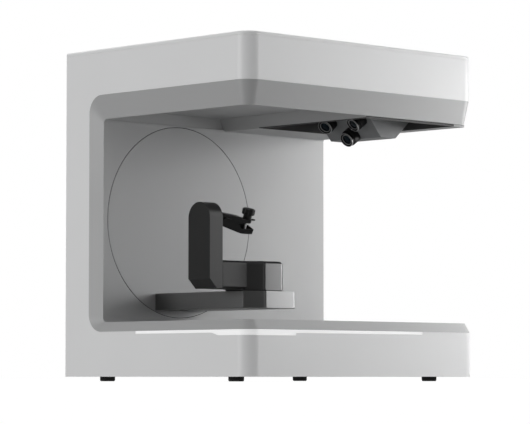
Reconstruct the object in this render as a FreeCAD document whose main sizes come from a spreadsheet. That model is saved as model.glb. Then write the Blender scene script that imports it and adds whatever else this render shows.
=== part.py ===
import FreeCAD, Part
import Sketcher
import math
import os

# Desktop scanner with a C-shaped housing. Millimetres, +Z up, +X to the right, the front at -Y.
# The origin is on the ground under the middle of the footprint.

doc = FreeCAD.newDocument("desktop_scanner")
sheet = doc.addObject("Spreadsheet::Sheet", "Sizes")
sizes = []
pieces = []


# ---------------------------------------------------------------- sizes

class Size:
    """A length with its value and with the expression that gives it from the sheet."""

    def __init__(self, value, text):
        self.value = float(value)
        self.text = text

    def __add__(self, other):
        other = as_size(other)
        return Size(self.value + other.value, f"({self.text} + {other.text})")

    def __sub__(self, other):
        other = as_size(other)
        return Size(self.value - other.value, f"({self.text} - {other.text})")

    def __mul__(self, other):
        other = as_size(other)
        return Size(self.value * other.value, f"({self.text} * {other.text})")

    def __truediv__(self, other):
        other = as_size(other)
        return Size(self.value / other.value, f"({self.text} / {other.text})")

    def __radd__(self, other):
        return as_size(other) + self

    def __rsub__(self, other):
        return as_size(other) - self

    def __rmul__(self, other):
        return as_size(other) * self

    def __neg__(self):
        return as_size(0) - self

    def __float__(self):
        return self.value


def as_size(number):
    return number if isinstance(number, Size) else Size(number, f"({float(number)})")


def cell(alias, value):
    """Put a driving size in the sheet and hand back its name."""
    sizes.append(alias)
    sheet.set(f"A{len(sizes)}", alias)
    sheet.set(f"B{len(sizes)}", str(value))
    sheet.setAlias(f"B{len(sizes)}", alias)
    return Size(value, f"Sizes.{alias}")


def root_of(number):
    return Size(math.sqrt(number.value), f"sqrt({number.text})")


# Housing
housing_width = cell("housing_width", 340.0)
housing_depth = cell("housing_depth", 283.0)
body_height = cell("body_height", 346.0)
foot_height = cell("foot_height", 4.8)
shell_wall = cell("shell_wall", 3.0)
front_corner = cell("front_corner", 16.5)
back_corner = cell("back_corner", 3.0)
cover_thickness = cell("cover_thickness", 4.0)
cover_round = cell("cover_round", 2.0)
pan_thickness = cell("pan_thickness", 3.0)
seam = cell("seam", 0.3)

# Scanning bay
base_height = cell("base_height", 47.2)
head_height = cell("head_height", 48.9)
column_depth = cell("column_depth", 39.9)
lip_inset = cell("lip_inset", 5.3)
side_lip = cell("side_lip", 17.1)
head_lip = cell("head_lip", 25.2)
base_lip = cell("base_lip", 10.1)
outer_round = cell("outer_round", 19.0)
inner_round = cell("inner_round", 5.0)
liner_thickness = cell("liner_thickness", 3.0)
liner_edge = cell("liner_edge", 1.0)
recess_rise = cell("recess_rise", 11.1)
bulge_drop = cell("bulge_drop", 2.4)
step_place = cell("step_place", 9.3)
step_slope = cell("step_slope", 7.0)
rim_width = cell("rim_width", 3.0)

# Swing axis and its pieces
swing_offset = cell("swing_offset", 55.7)
swing_height = cell("swing_height", 166.5)
disc_radius = cell("disc_radius", 102.7)
disc_gap = cell("disc_gap", 0.8)
disc_thickness = cell("disc_thickness", 4.0)
swing_shaft_radius = cell("swing_shaft_radius", 10.0)
spigot_length = cell("spigot_length", 2.5)
swing_pulley_radius = cell("swing_pulley_radius", 45.0)
drive_pulley_radius = cell("drive_pulley_radius", 11.0)
pulley_width = cell("pulley_width", 10.0)
belt_thickness = cell("belt_thickness", 1.5)
belt_gap = cell("belt_gap", 0.3)
running_gap = cell("running_gap", 0.05)
frame_thickness = cell("frame_thickness", 4.0)
motor_side = cell("motor_side", 42.0)
motor_length = cell("motor_length", 18.0)
motor_shaft_radius = cell("motor_shaft_radius", 2.5)
swing_belt_span = cell("swing_belt_span", 110.0)
housing_flange = cell("housing_flange", 4.0)
bracket_thickness = cell("bracket_thickness", 2.0)

# Beam
beam_width = cell("beam_width", 70.8)
beam_bottom = cell("beam_bottom", 71.3)
beam_thickness = cell("beam_thickness", 17.6)
nose_reach = cell("nose_reach", 36.9)
nose_chamfer = cell("nose_chamfer", 16.4)
beam_wall = cell("beam_wall", 3.0)
beam_cover_thickness = cell("beam_cover_thickness", 2.0)

edge_break = cell("edge_break", 1.0)
turn_bearing_radius = cell("turn_bearing_radius", 11.0)
turn_bearing_height = cell("turn_bearing_height", 8.0)
turn_motor_radius = cell("turn_motor_radius", 20.0)

# Turntable and arm
turn_place = cell("turn_place", 31.5)
hub_half = cell("hub_half", 27.9)
hub_chamfer = cell("hub_chamfer", 14.9)
hub_gap = cell("hub_gap", 0.4)
hub_round = cell("hub_round", 3.5)
hub_rim_round = cell("hub_rim_round", 2.2)
hub_top = cell("hub_top", 120.2)
turn_shaft_radius = cell("turn_shaft_radius", 6.0)
turn_pulley_radius = cell("turn_pulley_radius", 14.0)
turn_drive_radius = cell("turn_drive_radius", 7.0)
turn_pulley_width = cell("turn_pulley_width", 5.0)
turn_belt_span = cell("turn_belt_span", 70.0)
arm_gap = cell("arm_gap", 3.9)
arm_depth = cell("arm_depth", 31.4)
post_reach = cell("post_reach", 78.0)
post_thickness = cell("post_thickness", 18.6)
post_chamfer = cell("post_chamfer", 7.4)
holder_height = cell("holder_height", 163.9)

lock_radius = cell("lock_radius", 1.5)

# Clamp
clamp_roll = cell("clamp_roll", 18.0)
shank_radius = cell("shank_radius", 4.0)
socket_radius = cell("socket_radius", 7.0)
jaw_width = cell("jaw_width", 12.0)
knuckle_width = cell("knuckle_width", 5.6)
knuckle_radius = cell("knuckle_radius", 4.0)
jaw_high = cell("jaw_high", 6.0)
jaw_reach = cell("jaw_reach", 38.0)
jaw_gap = cell("jaw_gap", 5.8)
tip_high = cell("tip_high", 1.3)
tip_thickness = cell("tip_thickness", 4.7)
lower_thickness = cell("lower_thickness", 5.5)
pivot_reach = cell("pivot_reach", 15.1)
pivot_z = cell("pivot_z", -0.5)
root_length = cell("root_length", 10.5)
screw_reach = cell("screw_reach", 33.5)
fork_travel = cell("fork_travel", 2.6)
neck_height = cell("neck_height", 4.6)
knob_height = cell("knob_height", 12.2)
flute_radius = cell("flute_radius", 1.7)
pin_radius = cell("pin_radius", 1.0)
screw_radius = cell("screw_radius", 1.1)
neck_radius = cell("neck_radius", 4.6)
knob_radius = cell("knob_radius", 7.4)

# Optics, aimed at the crossing of the swing and turn axes
lens_distance = cell("lens_distance", 166.0)
camera_spread = cell("camera_spread", 21.0)
camera_elevation = cell("camera_elevation", 39.2)
projector_elevation = cell("projector_elevation", 33.1)
ring_radius = cell("ring_radius", 8.2)
ring_length = cell("ring_length", 4.0)
barrel_radius = cell("barrel_radius", 9.2)
barrel_length = cell("barrel_length", 17.0)
glass_radius = cell("glass_radius", 5.6)
camera_side = cell("camera_side", 17.0)
camera_length = cell("camera_length", 28.0)
projector_length = cell("projector_length", 30.0)
cowl_wall = cell("cowl_wall", 2.0)
cowl_width = cell("cowl_width", 76.0)
cowl_bottom = cell("cowl_bottom", 12.8)
cowl_height = cell("cowl_height", 32.0)
cowl_front = cell("cowl_front", 153.7)
cowl_floor = cell("cowl_floor", 23.0)
cowl_front_slope = cell("cowl_front_slope", 0.87)
cowl_back_slope = cell("cowl_back_slope", 1.14)
bracket_place = cell("bracket_place", 180.6)
bracket_sheet = cell("bracket_sheet", 3.0)
bay_height = cell("bay_height", 48.0)
bay_left = cell("bay_left", 10.8)
bay_right = cell("bay_right", 136.0)
bay_wall = cell("bay_wall", 2.0)
slot_front_reach = cell("slot_front_reach", 57.5)
slot_back_reach = cell("slot_back_reach", 57.5)

# Base fittings
strip_height = cell("strip_height", 2.8)
strip_deep_height = cell("strip_deep_height", 5.6)
strip_depth = cell("strip_depth", 1.2)
board_tape = cell("board_tape", 0.8)
strip_side_length = cell("strip_side_length", 168.0)
strip_front_length = cell("strip_front_length", 255.0)
strip_side_deep = cell("strip_side_deep", 42.5)
strip_front_deep = cell("strip_front_deep", 67.5)
strip_slant = cell("strip_slant", 10.0)
foot_radius = cell("foot_radius", 8.0)
foot_screw_radius = cell("foot_screw_radius", 1.5)
foot_side_inset = cell("foot_side_inset", 26.5)
foot_front_inset = cell("foot_front_inset", 44.3)
foot_back_inset = cell("foot_back_inset", 39.9)
contact_gap = cell("contact_gap", 0.3)

# Frames inside the housing
frame_side_inset = cell("frame_side_inset", 18.0)
frame_gap = cell("frame_gap", 10.5)
tray_inset = cell("tray_inset", 20.0)
tray_flange = cell("tray_flange", 22.0)
column_flange = cell("column_flange", 24.0)
head_flange = cell("head_flange", 20.0)
head_frame_rise = cell("head_frame_rise", 8.0)
window_width = cell("window_width", 90.0)
window_height = cell("window_height", 60.0)
bearing_housing_radius = cell("bearing_housing_radius", 24.0)

# Back cover, fan and electrics
inlet_rise = cell("inlet_rise", 14.0)
inlet_width = cell("inlet_width", 27.0)
inlet_height = cell("inlet_height", 20.0)
inlet_depth = cell("inlet_depth", 22.0)
inlet_side_inset = cell("inlet_side_inset", 40.0)
switch_width = cell("switch_width", 15.0)
rocker_tilt = cell("rocker_tilt", 7.0)
usb_side_inset = cell("usb_side_inset", 50.0)
usb_width = cell("usb_width", 12.0)
usb_height = cell("usb_height", 11.0)
vent_width = cell("vent_width", 3.0)
vent_pitch = cell("vent_pitch", 6.0)
vent_web = cell("vent_web", 4.0)
fan_side = cell("fan_side", 60.0)
fan_depth = cell("fan_depth", 15.0)
fan_radius = cell("fan_radius", 28.0)
fan_hub_radius = cell("fan_hub_radius", 12.0)
fan_side_inset = cell("fan_side_inset", 232.0)
fan_top_inset = cell("fan_top_inset", 34.0)
blade_chord = cell("blade_chord", 12.0)
supply_width = cell("supply_width", 95.0)
supply_length = cell("supply_length", 130.0)
supply_height = cell("supply_height", 33.0)
board_left = cell("board_left", -130.0)
board_front = cell("board_front", -90.0)
board_width = cell("board_width", 120.0)
board_length = cell("board_length", 90.0)
board_thickness = cell("board_thickness", 1.6)
board_standoff = cell("board_standoff", 8.0)

fan_rings = 3

doc.recompute()

# Places that follow from the driving sizes
left = -housing_width / 2
right = housing_width / 2
front = -housing_depth / 2
back = housing_depth / 2
bottom = foot_height
top = foot_height + body_height
cover_bottom = top - cover_thickness
lip_low = bottom + base_height
lip_high = top - head_height
lip_back = back - column_depth
wall_face = lip_back - side_lip
floor_top = lip_low + base_lip
rim_bottom = lip_high - head_lip
recess_ceiling = rim_bottom + recess_rise
bulge_bottom = rim_bottom - bulge_drop
swing_x = -swing_offset
swing_z = bottom + swing_height
turn_y = -turn_place
beam_low = bottom + beam_bottom
beam_high = beam_low + beam_thickness
nose_front = turn_y - nose_reach
hub_low = beam_high + hub_gap
hub_high = bottom + hub_top
arm_low = beam_high + arm_gap
post_left = swing_x - post_reach
post_right = post_left + post_thickness
arm_front = turn_y - arm_depth / 2
arm_back = turn_y + arm_depth / 2
holder_z = bottom + holder_height


# ---------------------------------------------------------------- building blocks

def bind(item, prop, size):
    item.setExpression(prop, as_size(size).text)


def place(item, x=0, y=0, z=0, rotation=None):
    """Put an object at a bound place, turned by a fixed rotation."""
    item.Placement = FreeCAD.Placement(FreeCAD.Vector(0, 0, 0), rotation or FreeCAD.Rotation())
    for axis, size in (("x", x), ("y", y), ("z", z)):
        bind(item, f"Placement.Base.{axis}", size)
    return item


def block(name, x, y, z):
    """A box between two faces along each axis."""
    item = doc.addObject("Part::Box", name)
    for prop, span in (("Length", x), ("Width", y), ("Height", z)):
        bind(item, prop, as_size(span[1]) - span[0])
    return place(item, x[0], y[0], z[0])


TURNS = {
    "x": FreeCAD.Rotation(FreeCAD.Vector(0, 1, 0), 90),
    "y": FreeCAD.Rotation(FreeCAD.Vector(1, 0, 0), -90),
    "z": FreeCAD.Rotation(),
}


def rod(name, axis, radius, start, end, at):
    """A cylinder along one axis, from start to end; at holds its other two coordinates in order."""
    item = doc.addObject("Part::Cylinder", name)
    bind(item, "Radius", radius)
    bind(item, "Height", as_size(end) - start)
    spots = {"x": (start, at[0], at[1]), "y": (at[0], start, at[1]), "z": (at[0], at[1], start)}
    return place(item, *spots[axis], rotation=TURNS[axis])


def fuse(name, *items):
    item = doc.addObject("Part::MultiFuse", name)
    item.Shapes = list(items)
    item.Refine = True
    return item


def cut(name, base, *tools):
    item = doc.addObject("Part::Cut", name)
    item.Base = base
    item.Tool = tools[0] if len(tools) == 1 else fuse(name + "_tools", *tools)
    item.Refine = True
    return item


def common(name, first, second):
    item = doc.addObject("Part::MultiCommon", name)
    item.Shapes = [first, second]
    item.Refine = True
    return item


def group(name, *items):
    """Separate solids that share one node."""
    item = doc.addObject("Part::Compound", name)
    item.Links = list(items)
    return item


def tube(name, axis, outer, inner, start, end, at):
    body = rod(name + "_body", axis, outer, start, end, at)
    hole = rod(name + "_hole", axis, inner, start - as_size(1), end + as_size(1), at)
    return cut(name, body, hole)


def origin_plane(body, role):
    for feature in body.Origin.OriginFeatures:
        if feature.Role == role:
            return feature
    raise ValueError(role)


def sketch_outline(body, name, role, points):
    """A closed outline of straight edges whose corners are bound to the sheet."""
    sketch = body.newObject("Sketcher::SketchObject", name)
    sketch.AttachmentSupport = [(origin_plane(body, role), "")]
    sketch.MapMode = "FlatFace"
    corners = [(as_size(u), as_size(v)) for u, v in points]
    count = len(corners)
    for index, (u, v) in enumerate(corners):
        follow_u, follow_v = corners[(index + 1) % count]
        start = FreeCAD.Vector(u.value, v.value, 0)
        end = FreeCAD.Vector(follow_u.value, follow_v.value, 0)
        sketch.addGeometry(Part.LineSegment(start, end), False)
    for index in range(count):
        sketch.addConstraint(Sketcher.Constraint("Coincident", index, 2, (index + 1) % count, 1))
    for index, corner in enumerate(corners):
        for kind, size in zip(("DistanceX", "DistanceY"), corner):
            number = sketch.addConstraint(Sketcher.Constraint(kind, -1, 1, index, 1, size.value))
            sketch.setExpression(f"Constraints[{number}]", size.text)
    return sketch


def padded(name, role, points, start, length, taper=None):
    """An outline in an origin plane, carried along the plane's axis from start over length."""
    body = doc.addObject("PartDesign::Body", name)
    sketch = sketch_outline(body, name + "_outline", role, points)
    pad = body.newObject("PartDesign::Pad", name + "_pad")
    pad.Profile = sketch
    pad.Reversed = role == "XZ_Plane"
    bind(pad, "Length", length)
    if taper is not None:
        bind(pad, "TaperAngle", taper)
    axis = {"XY_Plane": "z", "XZ_Plane": "y", "YZ_Plane": "x"}[role]
    place(body, **{axis: start})
    return body


def turned(name, points):
    """A profile of (radius, height) corners revolved round Z."""
    body = doc.addObject("PartDesign::Body", name)
    sketch = sketch_outline(body, name + "_profile", "XZ_Plane", points)
    turn = body.newObject("PartDesign::Revolution", name + "_turn")
    turn.Profile = sketch
    turn.ReferenceAxis = (sketch, ["V_Axis"])
    turn.Angle = 360
    return body


def round_edges(body, name, radius, test):
    """Fillet those edges of the body's last feature that the test picks by their two ends."""
    doc.recompute()
    last = body.Tip
    picked = []
    for number, edge in enumerate(last.Shape.Edges, 1):
        if len(edge.Vertexes) == 2 and test(edge.Vertexes[0].Point, edge.Vertexes[1].Point):
            picked.append(f"Edge{number}")
    fillet = body.newObject("PartDesign::Fillet", name)
    fillet.Base = (last, picked)
    bind(fillet, "Radius", radius)
    return body


def upright(low, high):
    return abs(low.x - high.x) < 0.01 and abs(low.y - high.y) < 0.01


def level(low, high):
    return abs(low.z - high.z) < 0.01


def keep(item):
    """Hand a finished piece in; its name is the name of its file."""
    item.Label = item.Name
    pieces.append(item)
    return item


def mirrored_x(name, item):
    """A copy of an object on the other side of the X = 0 plane."""
    copy = doc.addObject("Part::Mirroring", name)
    copy.Source = item
    copy.Normal = FreeCAD.Vector(1, 0, 0)
    return copy


def shaped(name, shape):
    """An object for a shape that no primitive or sketch feature makes directly."""
    item = doc.addObject("Part::Feature", name)
    item.Shape = shape
    return item


# ---------------------------------------------------------------- bay

def corner_arc(start, through, end):
    return Part.Arc(FreeCAD.Vector(*start), FreeCAD.Vector(*through), FreeCAD.Vector(*end)).toShape()


def chain(*edges):
    """A closed wire from points and arcs given in order: points are joined by straight edges."""
    parts = []
    last = None
    for edge in list(edges) + [edges[0]]:
        start = FreeCAD.Vector(*edge[0])
        if last is not None and last.distanceToPoint(start) > 1e-6:
            parts.append(Part.makeLine(last, start))
        if len(edge) == 3 and not (last is not None and edge is edges[0]):
            parts.append(corner_arc(*edge))
        last = FreeCAD.Vector(*edge[-1])
        if edge is edges[0] and len(parts) > 2:
            break
    return Part.Wire(parts)


def round_corner(u, v, sign_u, sign_v, radius, lift):
    """Start, middle and end of a quarter turn at the corner (u, v); lift makes a 3-D point of (u, v)."""
    near = radius * (1 - math.sqrt(0.5))
    start = lift(u, v - sign_v * radius)
    middle = lift(u - sign_u * near, v - sign_v * near)
    end = lift(u - sign_u * radius, v)
    return start, middle, end


def plan_wire(inset, radius, z):
    """The housing outline at a height, set in by inset, with round front corners."""
    half = float(housing_width) / 2 - inset
    y_front = float(front) + inset
    y_back = float(back) + 10

    def lift(u, v):
        return u, v, z

    left_corner = round_corner(-half, y_front, -1, -1, radius, lift)
    right_corner = round_corner(half, y_front, 1, -1, radius, lift)[::-1]
    return chain(((-half, y_back, z),), left_corner, right_corner, ((half, y_back, z),))


def side_wire(x, low, high, y_back, radius):
    """The outline of the bay as seen from the side, at one X."""
    y_front = float(lip_back) - 80

    def lift(u, v):
        return x, u, v

    low_corner = round_corner(y_back, low, 1, -1, radius, lift)[::-1]
    high_corner = round_corner(y_back, high, 1, 1, radius, lift)
    return chain(((x, y_front, low),), low_corner, high_corner, ((x, y_front, high),))


def bay_air(name, edge, inset, grow):
    """The air of the bay. At the outer faces it has the housing's opening, set in by edge;
    at the inner end of the lips it is set in by inset and larger all round by grow."""
    half = float(housing_width) / 2
    radius = float(front_corner)
    low, high, deep = float(lip_low), float(lip_high), float(lip_back)
    floor, rim, wall = float(floor_top) - grow, float(rim_bottom) + grow, float(wall_face) + grow
    outside = 1.0
    size = FreeCAD.Vector(2 * (half + outside), deep - float(front) + outside, high - low)
    start = FreeCAD.Vector(-half - outside, float(front) - outside, low)
    air = Part.makeBox(size.x, size.y, size.z, start)
    head = Part.makeLoft([plan_wire(edge, radius - edge, high), plan_wire(inset, radius - inset, rim)], True, True)
    base = Part.makeLoft([plan_wire(edge, radius - edge, low), plan_wire(inset, radius - inset, floor)], True, True)
    inner = side_wire(inset - half, floor, rim, wall, float(inner_round))
    middle = Part.Face(inner).extrude(FreeCAD.Vector(2 * (half - inset), 0, 0))
    sides = [middle]
    for side in (-1, 1):
        outer_x = side * (half - edge)
        outer = side_wire(outer_x, low, high, deep, float(outer_round))
        narrow = side_wire(side * (half - inset), floor, rim, wall, float(inner_round))
        sides.append(Part.makeLoft([narrow, outer], True, True))
        sides.append(Part.Face(outer).extrude(FreeCAD.Vector(side * (edge + 2 * outside), 0, 0)))
    corner = Part.makeBox(size.x, 60.0, size.z, FreeCAD.Vector(start.x, deep - 60.0, low))
    for side in sides:
        corner = corner.cut(side)
    for solid in (head, base, corner):
        air = air.cut(solid)
    return shaped(name, air.removeSplitter())


housing_block = padded(
    "housing_block", "XY_Plane",
    [(left, front), (right, front), (right, back), (left, back)],
    bottom, body_height - cover_thickness,
)
round_edges(housing_block, "front_rounds", front_corner, lambda a, b: upright(a, b) and a.y < 0)
round_edges(housing_block, "back_rounds", back_corner, lambda a, b: upright(a, b) and a.y > float(back) - 1)

bay_open = bay_air("bay_open", 0.0, float(lip_inset), 0.0)
lined_inset = lip_inset + liner_thickness - liner_edge * 0.8
bay_lined = bay_air("bay_lined", float(liner_edge), float(lined_inset), float(liner_thickness))

# ---------------------------------------------------------------- light strip

def strip_band(name, depth_from, depth_to):
    """The light strip's stretch of the base wall between two depths, seen full length in plan."""
    outer = rounded_plan(name + "_outer", depth_from, strip_low, lip_low)
    inner = rounded_plan(name + "_inner", depth_to, strip_low - 1, lip_low + 1)
    band = cut(name + "_ring", outer, inner)
    reach = block(name + "_reach", (left - 1, strip_right), (front - 1, strip_back), (strip_low - 1, lip_low + 1))
    return common(name + "_stretch", band, reach)


def rounded_plan(name, inset, low, high):
    """The housing outline set in by inset, as a solid between two heights."""
    corners = [(left + inset, front + inset), (right - inset, front + inset), (right - inset, back), (left + inset, back)]
    body = padded(name, "XY_Plane", corners, low, as_size(high) - low)
    round_edges(body, name + "_rounds", front_corner - inset, lambda a, b: upright(a, b) and a.y < 0)
    return body


strip_low = lip_low - strip_deep_height
strip_thin_low = lip_low - strip_height
strip_left_step = front + strip_side_deep
strip_front_step = left + strip_front_deep
strip_back = front + strip_side_length
strip_right = left + strip_front_length


def strip_shape(name, depth_from, depth_to, high):
    """The strip between two depths: tall round the corner, thin along both faces past its steps."""
    band = strip_band(name, depth_from, depth_to)
    side_thin = padded(
        name + "_side_thin", "YZ_Plane",
        [
            (strip_left_step, strip_low - 1), (strip_left_step, strip_low),
            (strip_left_step + strip_slant, strip_thin_low), (strip_back + 1, strip_thin_low),
            (strip_back + 1, strip_low - 1),
        ],
        left - 1, front_corner,
    )
    front_thin = block(
        name + "_front_thin", (strip_front_step, strip_right + 1),
        (front - 1, front + front_corner), (strip_low - 1, strip_thin_low),
    )
    above = block(name + "_above", (left - 1, strip_right + 1), (front - 1, strip_back + 1), (high, high + 10))
    return cut(name, band, side_thin, front_thin, above)


groove = strip_shape("strip_groove", as_size(0), strip_depth + board_tape, lip_low + 5)
keep(strip_shape("light_strip", as_size(0), strip_depth, lip_low + 5))
keep(strip_shape("light_board", strip_depth, strip_depth + board_tape, lip_low + 5))

# ---------------------------------------------------------------- housing

cavity = padded(
    "housing_cavity", "XY_Plane",
    [
        (left + shell_wall, front + shell_wall), (right - shell_wall, front + shell_wall),
        (right - shell_wall, back + 10), (left + shell_wall, back + 10),
    ],
    bottom - 1, body_height + 2,
)
round_edges(cavity, "cavity_rounds", front_corner - shell_wall, lambda a, b: upright(a, b) and a.y < 0)
keep(cut("shell", housing_block, cavity, bay_lined, groove))

top_cover = padded(
    "top_cover", "XY_Plane",
    [(left, front), (right, front), (right, back), (left, back)],
    cover_bottom, cover_thickness,
)
round_edges(top_cover, "cover_front_corners", front_corner, lambda a, b: upright(a, b) and a.y < 0)
round_edges(top_cover, "cover_back_corners", back_corner, lambda a, b: upright(a, b) and a.y > float(back) - 1)
round_edges(top_cover, "cover_rim", cover_round, lambda a, b: level(a, b) and a.z > float(cover_thickness) - 0.1)
keep(top_cover)

pan = padded(
    "pan_plate", "XY_Plane",
    [
        (left + shell_wall + seam, front + shell_wall + seam), (right - shell_wall - seam, front + shell_wall + seam),
        (right - shell_wall - seam, back), (left + shell_wall + seam, back),
    ],
    bottom, pan_thickness,
)
round_edges(pan, "pan_rounds", front_corner - shell_wall, lambda a, b: upright(a, b) and a.y < 0)
pan_top = bottom + pan_thickness
foot_places = []
for side, foot_x in (("left", left + foot_side_inset), ("right", right - foot_side_inset)):
    for row, foot_y in (("front", front + foot_front_inset), ("back", back - foot_back_inset)):
        foot_places.append((f"{row}_{side}", foot_x, foot_y))
foot_holes = [
    rod(f"foot_hole_{name}", "z", foot_screw_radius, bottom - 1, pan_top + 1, (x, y)) for name, x, y in foot_places
]
keep(cut("base_pan", pan, *foot_holes))

feet = []
foot_screws = []
foot_recess = foot_height / 2
for name, x, y in foot_places:
    foot = turned(
        f"foot_{name}",
        [
            (foot_screw_radius, foot_recess), (foot_screw_radius * 2 + 0.3, foot_recess),
            (foot_screw_radius * 2 + 0.3, 0), (foot_radius - 1, 0), (foot_radius, 1),
            (foot_radius, foot_height), (foot_screw_radius, foot_height),
        ],
    )
    feet.append(place(foot, x, y, 0))
    screw = turned(
        f"foot_screw_{name}",
        [
            (0, foot_recess - 1.6), (foot_screw_radius * 2, foot_recess - 1.6),
            (foot_screw_radius * 2, foot_recess), (foot_screw_radius, foot_recess),
            (foot_screw_radius, pan_top + frame_thickness / 2), (0, pan_top + frame_thickness / 2),
        ],
    )
    foot_screws.append(place(screw, x, y, 0))
keep(group("rubber_feet", *feet))
keep(group("foot_screws", *foot_screws))

# ---------------------------------------------------------------- liner

recess_left = left + lip_inset + rim_width
recess_right = right - lip_inset - rim_width
recess_front = front + lip_inset + rim_width
step_foot = step_place
step_top = step_place - step_slope
step_drop = recess_ceiling - bulge_bottom
step_at_rim = step_foot - step_slope * bulge_drop / step_drop
slot_front = turn_y - slot_front_reach
slot_back = turn_y + slot_back_reach

recess_outer = padded(
    "recess_outer", "XZ_Plane",
    [
        (left + lip_inset, rim_bottom), (left + lip_inset, recess_ceiling + liner_thickness),
        (step_top + liner_thickness, recess_ceiling + liner_thickness),
        (step_foot + liner_thickness, rim_bottom + liner_thickness),
        (right - lip_inset, rim_bottom + liner_thickness), (right - lip_inset, rim_bottom),
    ],
    front + lip_inset, wall_face - front - lip_inset + liner_thickness,
)
bulge = padded(
    "bulge", "XZ_Plane",
    [(step_foot, bulge_bottom), (recess_right, bulge_bottom), (recess_right, rim_bottom + 1), (step_at_rim, rim_bottom + 1),
     (step_at_rim, rim_bottom)],
    recess_front, wall_face - recess_front,
)
recess_limit = rounded_plan("recess_limit", lip_inset, rim_bottom, recess_ceiling + liner_thickness)
recess_air = padded(
    "recess_air", "XZ_Plane",
    [(recess_left, rim_bottom - 1), (recess_left, recess_ceiling), (step_top, recess_ceiling), (step_at_rim, rim_bottom),
     (step_at_rim, rim_bottom - 1)],
    recess_front, wall_face - recess_front,
)
optics_slot = block(
    "optics_slot", (bay_left, bay_right), (slot_front, slot_back), (bulge_bottom - 1, recess_ceiling + 10),
)
disc_hole = rod(
    "disc_hole", "y", disc_radius + disc_gap, wall_face - 1, wall_face + liner_thickness + 1, (swing_x, swing_z),
)
liner_skin = common("liner_skin", cut("liner_rough", bay_lined, bay_open), housing_block)
recess_shell = common("recess_shell", recess_outer, recess_limit)
liner_whole = fuse("liner_whole", liner_skin, recess_shell, bulge)
keep(cut("bay_liner", liner_whole, recess_air, optics_slot, disc_hole))

# ---------------------------------------------------------------- frames

frame_left = left + frame_side_inset
frame_right = right - frame_side_inset
column_front = wall_face + frame_gap
column_back = column_front + frame_thickness
frame_top = cover_bottom - seam
tray_top = pan_top + frame_thickness


def channel(name, role, low, high, web, flange, thickness, start, length):
    """A bent sheet with two flanges: web runs between low and high, the flanges stand out from it."""
    outline = [
        (low, web), (high, web), (high, flange), (high - thickness, flange),
        (high - thickness, web + thickness), (low + thickness, web + thickness), (low + thickness, flange), (low, flange),
    ]
    return padded(name, role, outline, start, length)


def fan_of_slots(name, columns, rows, first, pitch, size, depth):
    """A field of upright slots through a wall that faces Y."""
    cutter = block(name + "_slot", (first[0], first[0] + size[0]), depth, (first[1], first[1] + size[1]))
    field = doc.addObject("Part::Compound", name)
    copies = []
    for column in range(columns):
        for row in range(rows):
            if column == row == 0:
                copies.append(cutter)
                continue
            x = first[0] + pitch[0] * column
            z = first[1] + pitch[1] * row
            copies.append(block(f"{name}_{column}_{row}", (x, x + size[0]), depth, (z, z + size[1])))
    field.Links = copies
    return field


base_channel = channel(
    "base_channel", "XZ_Plane", frame_left, frame_right, pan_top, pan_top + tray_flange, frame_thickness,
    front + tray_inset, column_front - front - tray_inset,
)
screw_clearance = [
    rod(f"tray_hole_{name}", "z", foot_screw_radius, pan_top - 1, tray_top + 1, (x, y))
    for name, x, y in foot_places if "front" in name
]
keep(cut("base_frame", base_channel, *screw_clearance))

column_channel = channel(
    "column_channel", "XY_Plane", frame_left, frame_right, column_front, column_front + column_flange, frame_thickness,
    pan_top, frame_top - pan_top,
)
housing_hole = rod(
    "bearing_seat", "y", bearing_housing_radius, column_front - 1, column_back + 1, (swing_x, swing_z),
)
column_windows = [
    block(f"column_window_{name}", (x, x + window_width), (column_front - 1, column_back + 1), (z, z + window_height))
    for name, x, z in (
        ("low", right - window_width - 50, bottom + 20), ("high", right - window_width - 50, top - window_height - 60),
    )
]
keep(cut("column_frame", column_channel, housing_hole, *column_windows))

head_low = recess_ceiling + head_frame_rise
head_channel = channel(
    "head_channel", "XZ_Plane", frame_left, frame_right, head_low, head_low + head_flange, frame_thickness,
    front + tray_inset, column_front - front - tray_inset,
)
optics_box_left = bay_left - bay_wall
optics_box_right = bay_right + bay_wall
optics_box_front = slot_front - bay_wall
optics_box_back = slot_back + bay_wall
head_window = block(
    "head_window", (optics_box_left - contact_gap, optics_box_right + contact_gap),
    (optics_box_front - contact_gap, optics_box_back + contact_gap), (head_low - 1, head_low + head_flange + 1),
)
keep(cut("head_frame", head_channel, head_window))

# ---------------------------------------------------------------- back cover and electrics

cover_face = back - shell_wall
inlet_low = pan_top + inlet_rise
inlet_high = inlet_low + inlet_height
inlet_left = right - inlet_side_inset - inlet_width
inlet_right = inlet_left + inlet_width
switch_left = inlet_left - switch_width - 12
switch_right = switch_left + switch_width
usb_left = left + usb_side_inset
usb_right = usb_left + usb_width
usb_high = inlet_low + usb_height
fan_x = left + fan_side_inset + fan_side / 2
fan_z = top - fan_top_inset - fan_side / 2

back_plate = block(
    "back_plate", (left + shell_wall + seam, right - shell_wall - seam), (cover_face, back),
    (pan_top + seam, cover_bottom - seam),
)
through = (cover_face - 1, back + 1)
inlet_hole = block("inlet_hole", (inlet_left, inlet_right), through, (inlet_low, inlet_high))
switch_hole = block("switch_hole", (switch_left, switch_right), through, (inlet_low, inlet_high))
usb_hole = block("usb_hole", (usb_left, usb_right), through, (inlet_low, usb_high))
low_vents = fan_of_slots(
    "low_vents", 12, 1, (swing_x - 70, inlet_low), (vent_pitch, vent_pitch), (vent_width, inlet_height), through,
)
fan_vents = []
for ring in range(fan_rings):
    outer = fan_radius - vent_pitch * ring
    fan_ring = tube(f"fan_ring_{ring}", "y", outer, outer - vent_width, through[0], through[1], (fan_x, fan_z))
    fan_vents.append(fan_ring)
spokes = [
    block("spoke_level", (fan_x - fan_side, fan_x + fan_side), (through[0] - 2, through[1] + 2),
          (fan_z - vent_web / 2, fan_z + vent_web / 2)),
    block("spoke_upright", (fan_x - vent_web / 2, fan_x + vent_web / 2), (through[0] - 2, through[1] + 2),
          (fan_z - fan_side, fan_z + fan_side)),
]
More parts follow.
